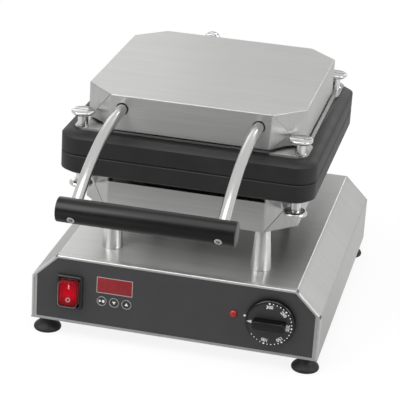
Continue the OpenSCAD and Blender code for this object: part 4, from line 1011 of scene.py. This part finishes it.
# Galvanised steel strip, wound and folded: dull silver with darker grooves.
wound_steel = metal("galvanised_wound_strip", "#adafb1", "#cfd1d2", (2, 2, 2), (0.2, 0.32), 0.006)
hose_x, hose_radius, lid_nut_y, base_nut_y = -0.036, 0.0077, front + 0.2569, front + 0.307
# Its route, as (y, z): it leaves each nut straight and bends in between towards two points.
straight = 0.003
start, end = (front + 0.2672, rod_z), (base_nut_y, 0.1005)
start_knee, end_knee = (start[0] + straight, start[1]), (end[0], end[1] + straight)
upper_bend, lower_bend = (front + 0.297, 0.2628), (front + 0.319, 0.2145)
bpy.ops.curve.primitive_bezier_curve_add()
path = bpy.context.object
spline = path.data.splines[0]
spline.bezier_points.add(2)
stations = ((start, start, start_knee), (start_knee, start, upper_bend),
            (end_knee, lower_bend, end), (end, end_knee, end))
for knot, (at, before, after) in zip(spline.bezier_points, stations):
    knot.handle_left_type = knot.handle_right_type = "FREE"
    knot.co = (hose_x, *at)
    knot.handle_left = (hose_x, *before)
    knot.handle_right = (hose_x, *after)
path.data.resolution_u = 32
bpy.ops.mesh.primitive_circle_add(vertices=28, radius=hose_radius, rotation=(0, radians(90), 0))
hose = opened(settled(bpy.context.object), "EDGE")
reach = 0
# One groove of the hose: four steps along it, with the swell of its radius at each.
for step, swell in ((0.0006, 8.4 / 7.7), (0.0012, 1), (0.0006, 7.7 / 8.4), (0.0006, 1)):
    reach += step
    bpy.ops.mesh.extrude_edges_move(TRANSFORM_OT_translate={"value": (step, 0, 0)})
    resize((1, swell, swell), (reach, 0, 0))
close_edit(mend=True)
worked(hose, "ARRAY", fit_type="FIT_CURVE", curve=path, use_merge_vertices=True,
       merge_threshold=0.00005)
worked(hose, "CURVE", object=path, deform_axis="POS_X")
bpy.data.objects.remove(path)
hose.name = hose.data.name = "wire_hose"
bpy.ops.object.shade_smooth_by_angle(angle=radians(35))
hose.data.materials.clear()
hose.data.materials.append(wound_steel)
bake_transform(hose)
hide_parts("conduit")

# Nickel plated brass nuts: warm bright silver.
nickel = metal("nickel_plated_brass", "#b3afa6", "#cfccc4", (1.5, 1.5, 1.5), (0.16, 0.26), 0.002)
hexagon = put(cylinder(6, 0.0127, 0.008), (0, 0, 0.004))
worked(hexagon, "BEVEL", width=0.0006, segments=2, limit_method="ANGLE")
collar = turned([(6, -6), (8, -6), (8, 7.9), (9.25, 7.9), (9.25, 9.5), (8.9, 10), (8.55, 10),
                 (6, 10), (6, -6)], 40)
nut = joined(hexagon, collar)
fit(put(copy_of(nut), (hose_x, lid_nut_y, rod_z), (-90, 0, 0)), "hose_nut_lid", "lid", nickel,
    "nickel", "conduit_nut_upper")
fit(put(nut, (hose_x, base_nut_y, deck_z)), "hose_nut_base", "base", nickel, "nickel",
    "conduit_nut_lower")
